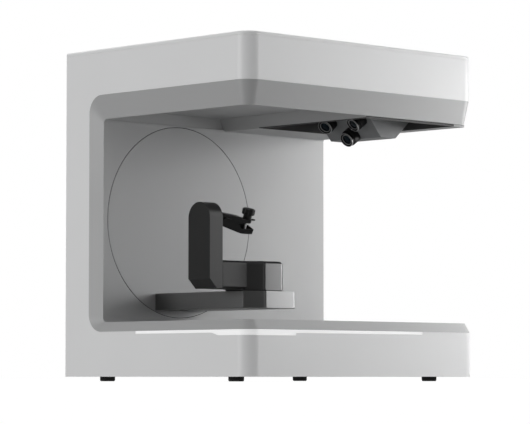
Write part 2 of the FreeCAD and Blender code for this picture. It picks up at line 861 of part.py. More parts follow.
fan_grille = cut("fan_grille", fuse("fan_rings_all", *fan_vents), *spokes)
keep(cut("back_cover", back_plate, inlet_hole, switch_hole, usb_hole, low_vents, fan_grille))

inlet_body = block(
    "inlet_body", (inlet_left, inlet_right), (back - inlet_depth, back), (inlet_low, inlet_high),
)
inlet_flange = block(
    "inlet_flange", (inlet_left - 3, inlet_right + 3), (cover_face - 1.5, cover_face), (inlet_low - 3, inlet_high + 3),
)
inlet_socket = padded(
    "inlet_socket", "XZ_Plane",
    [
        (inlet_left + 1.5, inlet_low + 2.5), (inlet_right - 1.5, inlet_low + 2.5),
        (inlet_right - 1.5, inlet_high - 6.5), (inlet_right - 5.5, inlet_high - 2.5),
        (inlet_left + 5.5, inlet_high - 2.5), (inlet_left + 1.5, inlet_high - 6.5),
    ],
    back - 16, 17,
)
inlet_blades = [
    block(f"inlet_blade_{name}", (x - 1, x + 1), (back - 17, back - 4), (z - 2, z + 2))
    for name, x, z in (
        ("line", (inlet_left + inlet_right) / 2 - 7, inlet_low + 7.5),
        ("neutral", (inlet_left + inlet_right) / 2 + 7, inlet_low + 7.5),
        ("earth", (inlet_left + inlet_right) / 2, inlet_low + 11.5),
    )
]
inlet_hollow = cut("inlet_hollow", fuse("inlet_solid", inlet_body, inlet_flange), inlet_socket)
keep(fuse("power_inlet", inlet_hollow, *inlet_blades))

rocker_y = back - 5.4
rocker_z = (inlet_low + inlet_high) / 2
rocker_half = inlet_height / 2 - 2
switch_body = block("switch_body", (switch_left, switch_right), (back - 18, back), (inlet_low, inlet_high))
switch_flange = block(
    "switch_flange", (switch_left - 2, switch_right + 2), (cover_face - 1.5, cover_face), (inlet_low - 3, inlet_high + 3),
)
rocker_room = rod(
    "rocker_room", "x", rocker_half + 0.6, switch_left + 1.5, switch_right - 1.5, (rocker_y, rocker_z),
)
rocker_window = block(
    "rocker_window", (switch_left + 1.5, switch_right - 1.5), (rocker_y, back + 1),
    (rocker_z - rocker_half - 0.6, rocker_z + rocker_half + 0.6),
)
rocker_pin = rod("rocker_pin", "x", pin_radius, switch_left + 0.5, switch_right - 0.5, (rocker_y, rocker_z))
keep(fuse(
    "power_switch", cut("switch_case", fuse("switch_solid", switch_body, switch_flange), rocker_room, rocker_window),
    rocker_pin,
))
rocker_round = rod("rocker_round", "x", rocker_half, switch_left + 1.8, switch_right - 1.8, (rocker_y, rocker_z))
rocker_face = padded(
    "rocker_face", "YZ_Plane",
    [
        (rocker_y - rocker_half - 1, rocker_z - rocker_half - 1), (rocker_y + 1.0, rocker_z - rocker_half - 1),
        (rocker_y + 3.6, rocker_z - rocker_half), (rocker_y + 2.0, rocker_z), (rocker_y + 3.6, rocker_z + rocker_half),
        (rocker_y + 1.0, rocker_z + rocker_half + 1), (rocker_y - rocker_half - 1, rocker_z + rocker_half + 1),
    ],
    switch_left, switch_width,
)
rocker_bore = rod(
    "rocker_bore", "x", pin_radius + running_gap, switch_left - 1, switch_right + 1, (rocker_y, rocker_z),
)
rocker_level = cut("rocker_level", common("rocker_blank", rocker_round, rocker_face), rocker_bore)
switch_rocker = group("switch_rocker", rocker_level)
tilt = FreeCAD.Rotation(FreeCAD.Vector(1, 0, 0), float(rocker_tilt))
pivot = FreeCAD.Vector(0, float(rocker_y), float(rocker_z))
switch_rocker.Placement = FreeCAD.Placement(pivot - tilt.multVec(pivot), tilt)
keep(switch_rocker)

usb_case = block("usb_case", (usb_left, usb_right), (back - 16, back - 0.5), (inlet_low, usb_high))
usb_mouth = block("usb_mouth", (usb_left + 1, usb_right - 1), (back - 12, back + 1), (inlet_low + 1, usb_high - 1))
usb_tongue = block("usb_tongue", (usb_left + 3, usb_right - 3), (back - 14, back - 2), (inlet_low + 4, usb_high - 4))
keep(fuse("usb_socket", cut("usb_shell", usb_case, usb_mouth), usb_tongue))

# ---------------------------------------------------------------- fan

fan_face = cover_face - contact_gap
fan_back = fan_face - fan_depth
fan_block = block(
    "fan_block", (fan_x - fan_side / 2, fan_x + fan_side / 2), (fan_back, fan_face),
    (fan_z - fan_side / 2, fan_z + fan_side / 2),
)
fan_bore = rod("fan_bore", "y", fan_radius, fan_back - 1, fan_face + 1, (fan_x, fan_z))
fan_boss = rod("fan_boss", "y", fan_hub_radius, fan_back, fan_back + 3, (fan_x, fan_z))
fan_arms = [
    block("fan_arm_level", (fan_x - fan_side / 2 + 1, fan_x + fan_side / 2 - 1), (fan_back, fan_back + 2),
          (fan_z - 1.5, fan_z + 1.5)),
    block("fan_arm_upright", (fan_x - 1.5, fan_x + 1.5), (fan_back, fan_back + 2),
          (fan_z - fan_side / 2 + 1, fan_z + fan_side / 2 - 1)),
]
fan_bearing = rod("fan_bearing", "y", pin_radius + running_gap, fan_back - 1, fan_back + 4, (fan_x, fan_z))
fan_ring_block = cut("fan_ring_block", fan_block, fan_bore)
keep(cut("fan_frame", fuse("fan_solid", fan_ring_block, fan_boss, *fan_arms), fan_bearing))

rotor_low = fan_back + 3.5
rotor_high = fan_face - 1
rotor_hub = rod("rotor_hub", "y", fan_hub_radius, rotor_low, rotor_high, (0, 0))
rotor_axle = rod("rotor_axle", "y", pin_radius, fan_back + 0.5, rotor_low + 1, (0, 0))
rotor_blades = []
blade_pitch = 38.0
for number in range(7):
    blade = block(
        f"rotor_blade_{number}", (fan_hub_radius - 1, fan_radius - 1.2),
        (-blade_chord / 2, blade_chord / 2), (-0.6, 0.6),
    )
    turn = FreeCAD.Rotation(FreeCAD.Vector(0, 1, 0), number * 360 / 7)
    pitch = FreeCAD.Rotation(FreeCAD.Vector(1, 0, 0), blade_pitch)
    carrier = doc.addObject("Part::Compound", f"rotor_blade_{number}_set")
    carrier.Links = [blade]
    carrier.Placement = FreeCAD.Placement(FreeCAD.Vector(0, 0, 0), turn * pitch)
    bind(carrier, "Placement.Base.y", (rotor_low + rotor_high) / 2)
    rotor_blades.append(carrier)
rotor = fuse("fan_rotor", rotor_hub, rotor_axle, *rotor_blades)
place(rotor, fan_x, 0, fan_z)
keep(rotor)

# ---------------------------------------------------------------- boards and power supply

supply_left = frame_right - frame_thickness - 12 - supply_width
supply = block(
    "supply_box", (supply_left, supply_left + supply_width), (front + 50, front + 50 + supply_length),
    (tray_top, tray_top + supply_height),
)
supply_slots = [
    block(f"supply_slot_{number}", (supply_left + 12 + 9 * number, supply_left + 16 + 9 * number),
          (front + 62, front + 38 + supply_length), (tray_top + supply_height - 1.5, tray_top + supply_height + 1))
    for number in range(8)
]
keep(cut("power_supply", supply, *supply_slots))

board_low = tray_top + board_standoff
board = block("board_plate", (board_left, board_left + board_width), (board_front, board_front + board_length),
              (board_low, board_low + board_thickness))
board_posts = []
for post_x in (board_left + 6, board_left + board_width - 6):
    for post_y in (board_front + 6, board_front + board_length - 6):
        board_posts.append(rod(f"board_post_{len(board_posts)}", "z", 2.5, tray_top, board_low, (post_x, post_y)))
chip_low = board_low + board_thickness
board_parts = [
    block(f"board_chip_{number}", (board_left + x, board_left + x + wide), (board_front + y, board_front + y + long),
          (chip_low, chip_low + tall))
    for number, (x, y, wide, long, tall) in enumerate((
        (20, 30, 24, 24, 2.2), (58, 24, 14, 14, 1.6), (58, 50, 14, 20, 1.6), (92, 20, 16, 34, 11.0), (20, 72, 60, 9, 8.0),
    ))
]
keep(fuse("main_board", board, *board_parts, *board_posts))

# ---------------------------------------------------------------- swing drive

def belt_outline(radius_big, radius_small, span):
    """A taut loop round two circles whose middles lie span apart along +X, in the XY plane."""
    lean = math.asin((radius_big - radius_small) / span)
    points = {}
    for name, radius, middle in (("big", radius_big, 0.0), ("small", radius_small, span)):
        for side in (-1, 1):
            x = middle + radius * math.sin(lean)
            points[name, side] = (x, side * radius * math.cos(lean), 0)
    return chain(
        (points["big", 1], (-radius_big, 0, 0), points["big", -1]),
        (points["small", -1], (span + radius_small, 0, 0), points["small", 1]),
    )


def belt(name, radius_big, radius_small, span, width):
    """A flat belt round two pulleys, clear of both by the belt gap."""
    clear = float(belt_gap)
    thick = float(belt_thickness)
    inner = Part.Face(belt_outline(radius_big + clear, radius_small + clear, span))
    outer = Part.Face(belt_outline(radius_big + clear + thick, radius_small + clear + thick, span))
    return shaped(name, outer.cut(inner).extrude(FreeCAD.Vector(0, 0, width)))


def pulley(name, radius, bore, width, rim):
    """A belt pulley along Z from its foot, with two rims and a bore."""
    return turned(name, [
        (bore, 0), (radius + rim, 0), (radius + rim, rim), (radius, rim * 1.5),
        (radius, width - rim * 1.5), (radius + rim, width - rim), (radius + rim, width), (bore, width),
    ])


def lightened(name, item, circle, hole, count, at_low, at_high):
    """The piece with round windows through its web, evenly spread."""
    holes = []
    for number in range(count):
        turn = 2 * math.pi * number / count
        spot = (circle * math.cos(turn), circle * math.sin(turn))
        holes.append(rod(f"{name}_window_{number}", "z", hole, at_low, at_high, spot))
    return cut(name, item, *holes)


FACE_BACK = FreeCAD.Rotation(FreeCAD.Vector(1, 0, 0), -90)
swing_motor_x = swing_x + swing_belt_span
disc_back = wall_face + disc_thickness
housing_back = column_back + housing_flange
pulley_front = housing_back + 1
pulley_back = pulley_front + pulley_width
motor_face = pulley_back + 3
motor_back = motor_face + bracket_thickness + motor_length

disc_plate = rod("disc_plate", "y", disc_radius, wall_face, disc_back, (swing_x, swing_z))
disc_seat = rod(
    "disc_seat", "y", swing_shaft_radius / 2, disc_back - spigot_length, disc_back + 1, (swing_x, swing_z),
)
keep(cut("swing_disc", disc_plate, disc_seat))

swing_shaft = turned("swing_shaft", [
    (swing_shaft_radius / 2, -spigot_length), (swing_shaft_radius / 2, 0), (swing_shaft_radius * 2.5, 0),
    (swing_shaft_radius * 2.5, 2), (swing_shaft_radius, 2), (swing_shaft_radius, pulley_back - disc_back + 2),
    (0, pulley_back - disc_back + 2), (0, -spigot_length),
])
swing_shaft.Placement = FreeCAD.Placement(FreeCAD.Vector(0, 0, 0), FACE_BACK)
for axis, size in (("x", swing_x), ("y", disc_back), ("z", swing_z)):
    bind(swing_shaft, f"Placement.Base.{axis}", size)
keep(swing_shaft)

bearing_outer = bearing_housing_radius - 5
bearing_front = column_front - 4
bearing_housing = turned("swing_bearing_housing", [
    (bearing_outer, 0), (bearing_housing_radius, 0), (bearing_housing_radius, column_back - bearing_front),
    (bearing_housing_radius + 7, column_back - bearing_front),
    (bearing_housing_radius + 7, housing_back - bearing_front), (bearing_outer, housing_back - bearing_front),
])
bearing_race = turned("swing_bearing", [
    (swing_shaft_radius + running_gap, 0.5), (swing_shaft_radius + 3, 0.5), (swing_shaft_radius + 3, 1.5),
    (bearing_outer - 3, 1.5), (bearing_outer - 3, 0.5), (bearing_outer, 0.5),
    (bearing_outer, housing_back - bearing_front - 0.5), (bearing_outer - 3, housing_back - bearing_front - 0.5),
    (bearing_outer - 3, housing_back - bearing_front - 1.5), (swing_shaft_radius + 3, housing_back - bearing_front - 1.5),
    (swing_shaft_radius + 3, housing_back - bearing_front - 0.5),
    (swing_shaft_radius + running_gap, housing_back - bearing_front - 0.5),
])
for item in (bearing_housing, bearing_race):
    keep(place(item, swing_x, bearing_front, swing_z, FACE_BACK))

swing_wheel = pulley("swing_wheel", swing_pulley_radius, swing_shaft_radius, pulley_width, 1.0)
swing_pulley = lightened(
    "swing_pulley", swing_wheel, (swing_pulley_radius + swing_shaft_radius) / 2, swing_pulley_radius / 5, 5,
    -1, pulley_width + 1,
)
keep(place(swing_pulley, swing_x, pulley_front, swing_z, FACE_BACK))

drive_wheel = pulley("drive_wheel", drive_pulley_radius, motor_shaft_radius, pulley_width, 1.0)
drive_shaft = rod("drive_shaft", "z", motor_shaft_radius, 0, motor_face - pulley_front + bracket_thickness + 12, (0, 0))
swing_drive = fuse("swing_drive_pulley", drive_wheel, drive_shaft)
keep(place(swing_drive, swing_motor_x, pulley_front, swing_z, FACE_BACK))

swing_belt = belt(
    "swing_belt", float(swing_pulley_radius), float(drive_pulley_radius), float(swing_belt_span),
    float(pulley_width) - 4,
)
keep(place(swing_belt, swing_x, pulley_front + 2, swing_z, FACE_BACK))

bracket_half_x = motor_side / 2 + 4
bracket_half_z = motor_side / 2 + 10
bracket_plate = block(
    "bracket_plate", (swing_motor_x - bracket_half_x, swing_motor_x + bracket_half_x),
    (motor_face, motor_face + bracket_thickness), (swing_z - bracket_half_z, swing_z + bracket_half_z),
)
bracket_boss = rod(
    "bracket_boss", "y", motor_side / 4, motor_face - 1, motor_face + bracket_thickness + 1, (swing_motor_x, swing_z),
)
bracket_legs = []
for leg_x in (swing_motor_x - bracket_half_x + 4, swing_motor_x + bracket_half_x - 4):
    for leg_z in (swing_z - bracket_half_z + 4, swing_z + bracket_half_z - 4):
        bracket_legs.append(rod(f"bracket_leg_{len(bracket_legs)}", "y", 3, column_back, motor_face, (leg_x, leg_z)))
keep(fuse("motor_bracket", cut("bracket_holed", bracket_plate, bracket_boss), *bracket_legs))

motor_low = swing_z - motor_side / 2
motor_case = padded(
    "motor_case", "XZ_Plane",
    [
        (swing_motor_x - motor_side / 2 + 4, motor_low), (swing_motor_x + motor_side / 2 - 4, motor_low),
        (swing_motor_x + motor_side / 2, motor_low + 4), (swing_motor_x + motor_side / 2, motor_low + motor_side - 4),
        (swing_motor_x + motor_side / 2 - 4, motor_low + motor_side),
        (swing_motor_x - motor_side / 2 + 4, motor_low + motor_side),
        (swing_motor_x - motor_side / 2, motor_low + motor_side - 4), (swing_motor_x - motor_side / 2, motor_low + 4),
    ],
    motor_face + bracket_thickness, motor_length,
)
motor_spigot = rod(
    "motor_spigot", "y", motor_side / 4 - 0.2, motor_face, motor_face + bracket_thickness + 1, (swing_motor_x, swing_z),
)
motor_bore = rod(
    "motor_bore", "y", motor_shaft_radius + running_gap, motor_face - 1,
    motor_face + bracket_thickness + 13, (swing_motor_x, swing_z),
)
keep(cut("swing_motor", fuse("motor_solid", motor_case, motor_spigot), motor_bore))

# ---------------------------------------------------------------- beam

beam_left = swing_x - beam_width / 2
beam_right = swing_x + beam_width / 2
cover_top = beam_low + beam_cover_thickness
beam_outline = [
    (beam_left, wall_face), (beam_left, nose_front + nose_chamfer), (beam_left + nose_chamfer, nose_front),
    (beam_right - nose_chamfer, nose_front), (beam_right, nose_front + nose_chamfer), (beam_right, wall_face),
]
corner_inset = beam_wall * (math.sqrt(2) - 1)
beam_room = [
    (beam_left + beam_wall, wall_face - beam_wall), (beam_left + beam_wall, nose_front + nose_chamfer + corner_inset),
    (beam_left + nose_chamfer + corner_inset, nose_front + beam_wall),
    (beam_right - nose_chamfer - corner_inset, nose_front + beam_wall),
    (beam_right - beam_wall, nose_front + nose_chamfer + corner_inset), (beam_right - beam_wall, wall_face - beam_wall),
]


def chamfer_edges(body, name, size, test):
    """Chamfer those edges of the body's last feature that the test picks by their two ends."""
    doc.recompute()
    last = body.Tip
    picked = []
    for number, edge in enumerate(last.Shape.Edges, 1):
        if len(edge.Vertexes) == 2 and test(edge.Vertexes[0].Point, edge.Vertexes[1].Point):
            picked.append(f"Edge{number}")
    chamfer = body.newObject("PartDesign::Chamfer", name)
    chamfer.Base = (last, picked)
    bind(chamfer, "Size", size)
    return body


beam_block = padded("beam_block", "XY_Plane", beam_outline, cover_top, beam_high - cover_top)
chamfer_edges(
    beam_block, "beam_top_edge", edge_break,
    lambda a, b: level(a, b) and a.z > float(beam_thickness - beam_cover_thickness) - 0.1
    and min(a.y, b.y) < float(wall_face) - 1,
)
beam_space = padded("beam_space", "XY_Plane", beam_room, cover_top - 1, beam_high - beam_wall - cover_top + 1)
turn_boss_low = beam_high - turn_bearing_height
turn_boss = rod("turn_boss", "z", turn_bearing_radius + beam_wall, turn_boss_low, beam_high - 1, (swing_x, turn_y))
turn_seat = rod("turn_seat", "z", turn_bearing_radius, turn_boss_low - 1, beam_high + 1, (swing_x, turn_y))
keep(cut("swing_beam", fuse("beam_solid", cut("beam_hollow", beam_block, beam_space), turn_boss), turn_seat))

beam_cover = padded("beam_cover", "XY_Plane", beam_outline, beam_low, beam_cover_thickness)
chamfer_edges(
    beam_cover, "beam_cover_edge", edge_break,
    lambda a, b: level(a, b) and a.z < 0.1 and min(a.y, b.y) < float(wall_face) - 1,
)
keep(beam_cover)

turn_bearing = turned("turn_bearing", [
    (turn_shaft_radius + running_gap, 0.3), (turn_shaft_radius + 1.5, 0.3), (turn_shaft_radius + 1.5, 0.8),
    (turn_bearing_radius - 1.5, 0.8), (turn_bearing_radius - 1.5, 0), (turn_bearing_radius, 0),
    (turn_bearing_radius, turn_bearing_height), (turn_bearing_radius - 1.5, turn_bearing_height),
    (turn_bearing_radius - 1.5, turn_bearing_height - 0.8), (turn_shaft_radius + 1.5, turn_bearing_height - 0.8),
    (turn_shaft_radius + 1.5, turn_bearing_height - 0.3), (turn_shaft_radius + running_gap, turn_bearing_height - 0.3),
])
keep(place(turn_bearing, swing_x, turn_y, turn_boss_low))

turn_wheel_low = cover_top + 1
turn_wheel_high = turn_wheel_low + turn_pulley_width
turn_motor_y = turn_y + turn_belt_span
turn_motor_low = turn_wheel_high + 1
turn_motor_body = rod("turn_motor_body", "z", turn_motor_radius, turn_motor_low, beam_high - beam_wall,
                      (swing_x, turn_motor_y))
turn_motor_bore = rod("turn_motor_bore", "z", pin_radius * 2 + running_gap, turn_motor_low - 1,
                      beam_high - beam_wall - 1, (swing_x, turn_motor_y))
keep(cut("turn_motor", turn_motor_body, turn_motor_bore))

small_wheel = pulley("small_wheel", turn_drive_radius, pin_radius, turn_pulley_width, 0.4)
small_shaft = rod("small_shaft", "z", pin_radius * 2, 0, turn_motor_low - turn_wheel_low + 3.5, (0, 0))
turn_drive = fuse("turn_drive_pulley", small_wheel, small_shaft)
keep(place(turn_drive, swing_x, turn_motor_y, turn_wheel_low))

turn_belt = belt(
    "turn_belt", float(turn_pulley_radius), float(turn_drive_radius), float(turn_belt_span),
    float(turn_pulley_width) - 1.6,
)
keep(place(turn_belt, swing_x, turn_y, turn_wheel_low + 0.8, FreeCAD.Rotation(FreeCAD.Vector(0, 0, 1), 90)))

# ---------------------------------------------------------------- turntable and arm

turn_wheel = pulley("turn_wheel", turn_pulley_radius, turn_shaft_radius, turn_pulley_width, 0.4)
turn_pulley = lightened(
    "turn_pulley", turn_wheel, (turn_pulley_radius + turn_shaft_radius) / 2, 2, 5, -1, turn_pulley_width + 1,
)
keep(place(turn_pulley, swing_x, turn_y, turn_wheel_low))
shaft_top = hub_low + (hub_high - hub_low) / 2
keep(rod("turn_shaft", "z", turn_shaft_radius, turn_wheel_low, shaft_top, (swing_x, turn_y)))

hub_flat = hub_half - hub_chamfer
hub_left = swing_x - hub_half
hub_block = padded(
    "hub_blank", "XY_Plane",
    [
        (swing_x - hub_flat, turn_y - hub_half), (swing_x + hub_flat, turn_y - hub_half),
        (swing_x + hub_half, turn_y - hub_flat), (swing_x + hub_half, turn_y + hub_flat),
        (swing_x + hub_flat, turn_y + hub_half), (swing_x - hub_flat, turn_y + hub_half),
        (hub_left, turn_y + hub_flat), (hub_left, turn_y - hub_flat),
    ],
    hub_low, hub_high - hub_low,
)
round_edges(hub_block, "hub_corners", hub_round, upright)
round_edges(hub_block, "hub_rim", hub_rim_round, lambda a, b: level(a, b) and a.z > float(hub_high - hub_low) - 0.1)
hub_bore = rod("hub_bore", "z", turn_shaft_radius, hub_low - 1, shaft_top, (swing_x, turn_y))
keep(cut("turntable_hub", hub_block, hub_bore))

arm_bar = padded(
    "arm_bar", "YZ_Plane",
    [(arm_front, arm_low), (arm_back, arm_low), (arm_back, hub_high), (arm_front, hub_high)],
    post_right, hub_left + hub_chamfer - post_right,
)
chamfer_edges(
    arm_bar, "arm_bar_edges", edge_break,
    lambda a, b: abs(a.y - b.y) < 0.01 and abs(a.z - b.z) < 0.01,
)
keep(cut("arm_base", arm_bar, hub_block))

post_blank = padded(
    "post_blank", "XZ_Plane",
    [
        (post_left + post_chamfer, arm_low), (post_right, arm_low), (post_right, holder_z),
        (post_left, holder_z), (post_left, arm_low + post_chamfer),
    ],
    arm_front, arm_depth,
)
post_head = rod("post_head", "x", arm_depth / 2, post_left, post_right, (turn_y, holder_z))
post_bore = rod("post_bore", "x", socket_radius, post_left + 3, post_right + 1, (turn_y, holder_z))
lock_hole = rod("lock_hole", "y", lock_radius, turn_y + shank_radius, arm_back + 1,
                ((post_left + post_right) / 2, holder_z))
post_solid = fuse("post_solid", post_blank, post_head)
keep(cut("arm_post", post_solid, post_bore, lock_hole))
socket_body = rod("socket_body", "x", socket_radius, post_left + 3, post_right, (turn_y, holder_z))
socket_bore = rod("socket_bore", "x", shank_radius + running_gap, post_left + 4, post_right + 1, (turn_y, holder_z))
keep(cut("holder_socket", socket_body, socket_bore, lock_hole))
keep(rod("lock_screw", "y", lock_radius, turn_y + shank_radius + contact_gap, arm_back,
         ((post_left + post_right) / 2, holder_z)))

# ---------------------------------------------------------------- clamp, built level and then rolled with its shank

ROLLED = FreeCAD.Rotation(FreeCAD.Vector(1, 0, 0), float(clamp_roll))
pivot_x = post_right + pivot_reach
screw_x = pivot_x + screw_reach
root_left = pivot_x - root_length
tip_low = tip_high - tip_thickness
lower_high = tip_low - jaw_gap
lower_low = lower_high - lower_thickness
half_jaw = jaw_width / 2
half_knuckle = knuckle_width / 2
room_radius = knuckle_radius + 0.5


def clamp_pad(name, points, half_width):
    """An outline round the jaw pivot, as wide to both sides."""
    outline = [(pivot_x + x, z) for x, z in points]
    return padded(name, "XZ_Plane", outline, -half_width, half_width * 2)


def clamp_rod(name, radius, start, end):
    """A cylinder along the jaw's pivot."""
    return rod(name, "y", radius, start, end, (pivot_x, pivot_z))


def rolled(item):
    return keep(place(item, 0, turn_y, holder_z, ROLLED))


shank_rod = rod("shank_rod", "x", shank_radius, post_left + 4.3, root_left, (0, 0))
shank_collar = rod("shank_collar", "x", socket_radius - 0.5, post_right + contact_gap, root_left, (0, 0))
rolled(fuse("holder_shank", shank_rod, shank_collar))

upper_blank = clamp_pad(
    "upper_blank",
    [
        (-root_length, pivot_z - knuckle_radius + 0.9), (-root_length, jaw_high), (-root_length + 4, jaw_high),
        (screw_reach * 0.56, jaw_high * 0.55), (screw_reach * 0.63, tip_high), (jaw_reach, tip_high),
        (jaw_reach, tip_low), (screw_reach * 0.72, tip_low), (knuckle_radius + 0.8, pivot_z + 2.3),
        (0, pivot_z), (0, pivot_z - knuckle_radius + 0.9),
    ],
    half_jaw,
)
cheek = clamp_rod("cheek", knuckle_radius, -half_jaw, half_jaw)
knuckle_room = clamp_rod("knuckle_room", room_radius, -half_knuckle - contact_gap, half_knuckle + contact_gap)
cheek_bore = clamp_rod("cheek_bore", pin_radius, -half_jaw - 1, half_jaw + 1)
screw_bore = rod("screw_bore", "z", screw_radius + running_gap, tip_low - 1, tip_high + 1, (screw_x, 0))
upper_solid = fuse("upper_solid", upper_blank, cheek)
rolled(cut("upper_jaw", upper_solid, knuckle_room, cheek_bore, screw_bore))
rolled(group("jaw_pin", clamp_rod("jaw_pin_rod", pin_radius, -half_jaw, half_jaw)))

lower_blank = clamp_pad(
    "lower_blank",
    [
        (-3, pivot_z - knuckle_radius - 0.9), (-6.4, lower_low + 7.2), (screw_reach * 0.53, lower_low),
        (jaw_reach - 2.3, lower_low), (jaw_reach - 0.6, lower_high), (screw_reach * 0.63, lower_high),
        (knuckle_radius + 1.2, pivot_z + 0.5), (0, pivot_z),
    ],
    half_jaw,
)
room_near = clamp_rod("room_near", room_radius, -half_jaw - 1, -half_knuckle)
room_far = clamp_rod("room_far", room_radius, half_knuckle, half_jaw + 1)
knuckle = clamp_rod("knuckle", knuckle_radius, -half_knuckle, half_knuckle)
knuckle_bore = clamp_rod("knuckle_bore", pin_radius + running_gap, -half_jaw - 1, half_jaw + 1)
fork = block(
    "fork", (screw_x - screw_radius - fork_travel, screw_x + jaw_reach), (-screw_radius - 0.6, screw_radius + 0.6),
    (lower_low - 1, lower_high + 1),
)
lower_arm = cut("lower_arm", lower_blank, room_near, room_far)
rolled(cut("lower_jaw", fuse("lower_solid", lower_arm, knuckle), knuckle_bore, fork))

knob_low = tip_high + contact_gap
knob_blank = turned("knob_blank", [
    (screw_radius, 0), (neck_radius - 0.4, 0), (neck_radius, 0.4), (neck_radius, neck_height),
    (knob_radius - 0.6, neck_height), (knob_radius, neck_height + 0.6), (knob_radius, knob_height - 0.8),
    (knob_radius - 0.8, knob_height), (0, knob_height), (0, neck_height), (screw_radius, neck_height),
])
fluted = lightened("fluted_knob", knob_blank, knob_radius + 0.8, flute_radius, 9, neck_height, knob_height + 1)
rolled(group("thumb_knob", place(fluted, screw_x, 0, knob_low)))
screw_rod = rod("screw_rod", "z", screw_radius, lower_low + 0.5, knob_low + neck_height, (screw_x, 0))
rolled(group("clamp_screw", screw_rod))

# ---------------------------------------------------------------- optics

notch_top = recess_ceiling + liner_thickness + contact_gap
optics_outer = block(
    "optics_outer", (optics_box_left, optics_box_right), (optics_box_front, optics_box_back),
    (rim_bottom + liner_thickness, rim_bottom + bay_height),
)
optics_inner = block(
    "optics_inner", (bay_left, bay_right), (slot_front, slot_back),
    (rim_bottom, rim_bottom + bay_height - bay_wall),
)
optics_notch = block(
    "optics_notch", (optics_box_left - 1, step_foot + liner_thickness + 0.2),
    (optics_box_front - 1, optics_box_back + 1), (rim_bottom, notch_top),
)
keep(cut("optics_bay", optics_outer, optics_inner, optics_notch))

plane_norm = root_of(cowl_front_slope * cowl_front_slope + 1)


def facing(distance, along):
    """A corner on the plane parallel to the cowl's front, a distance from the axes' crossing."""
    x = swing_x + (distance - cowl_front_slope * along) / plane_norm
    z = swing_z + (cowl_front_slope * distance + as_size(along)) / plane_norm
    return x, z


cowl_low = rim_bottom - cowl_bottom
cowl_top = cowl_low + cowl_height
cowl_nose = swing_x + cowl_front
cowl_heel = cowl_nose + cowl_floor
cowl_right = bay_right - 2
cowl_blank = padded(
    "cowl_blank", "XZ_Plane",
    [
        (cowl_nose, cowl_low), (cowl_heel, cowl_low), (cowl_right, cowl_low + (cowl_right - cowl_heel) / cowl_back_slope),
        (cowl_right, cowl_top), (cowl_nose - cowl_height * cowl_front_slope, cowl_top),
    ],
    turn_y - cowl_width / 2, cowl_width,
)
front_shift = cowl_wall * root_of(cowl_front_slope * cowl_front_slope + 1)
back_shift = cowl_wall * root_of(cowl_back_slope * cowl_back_slope + 1)
cowl_room = padded(
    "cowl_room", "XZ_Plane",
    [
        (cowl_nose - cowl_front_slope * cowl_wall + front_shift, cowl_low + cowl_wall),
        (cowl_heel + cowl_back_slope * cowl_wall - back_shift, cowl_low + cowl_wall),
        (cowl_right - cowl_wall, cowl_low + (cowl_right - cowl_wall - cowl_heel + back_shift) / cowl_back_slope),
        (cowl_right - cowl_wall, cowl_top + 1),
        (cowl_nose - cowl_front_slope * (cowl_height + 1) + front_shift, cowl_top + 1),
    ],
    turn_y - cowl_width / 2 + cowl_wall, cowl_width - cowl_wall * 2,
)

lenses = (
    ("camera_left", camera_spread, camera_elevation, camera_length),
    ("camera_right", -camera_spread, camera_elevation, camera_length),
    ("projector", as_size(0), projector_elevation, projector_length),
)
crossing = FreeCAD.Vector(float(swing_x), float(turn_y), float(swing_z))


def aimed(item, lateral, elevation, distance):
    """Set an object on a lens axis, its +Z along the ray that leaves the axes' crossing."""
    rise = math.sin(math.radians(float(elevation)))
    aside = float(lateral) / float(lens_distance)
    ray = FreeCAD.Vector(math.sqrt(1 - rise * rise - aside * aside), aside, rise)
    turn = FreeCAD.Rotation(FreeCAD.Vector(0, 0, 0), FreeCAD.Vector(0, 1, 0), ray, "ZYX")
    item.Placement = FreeCAD.Placement(crossing + ray * float(distance), turn)
    return item


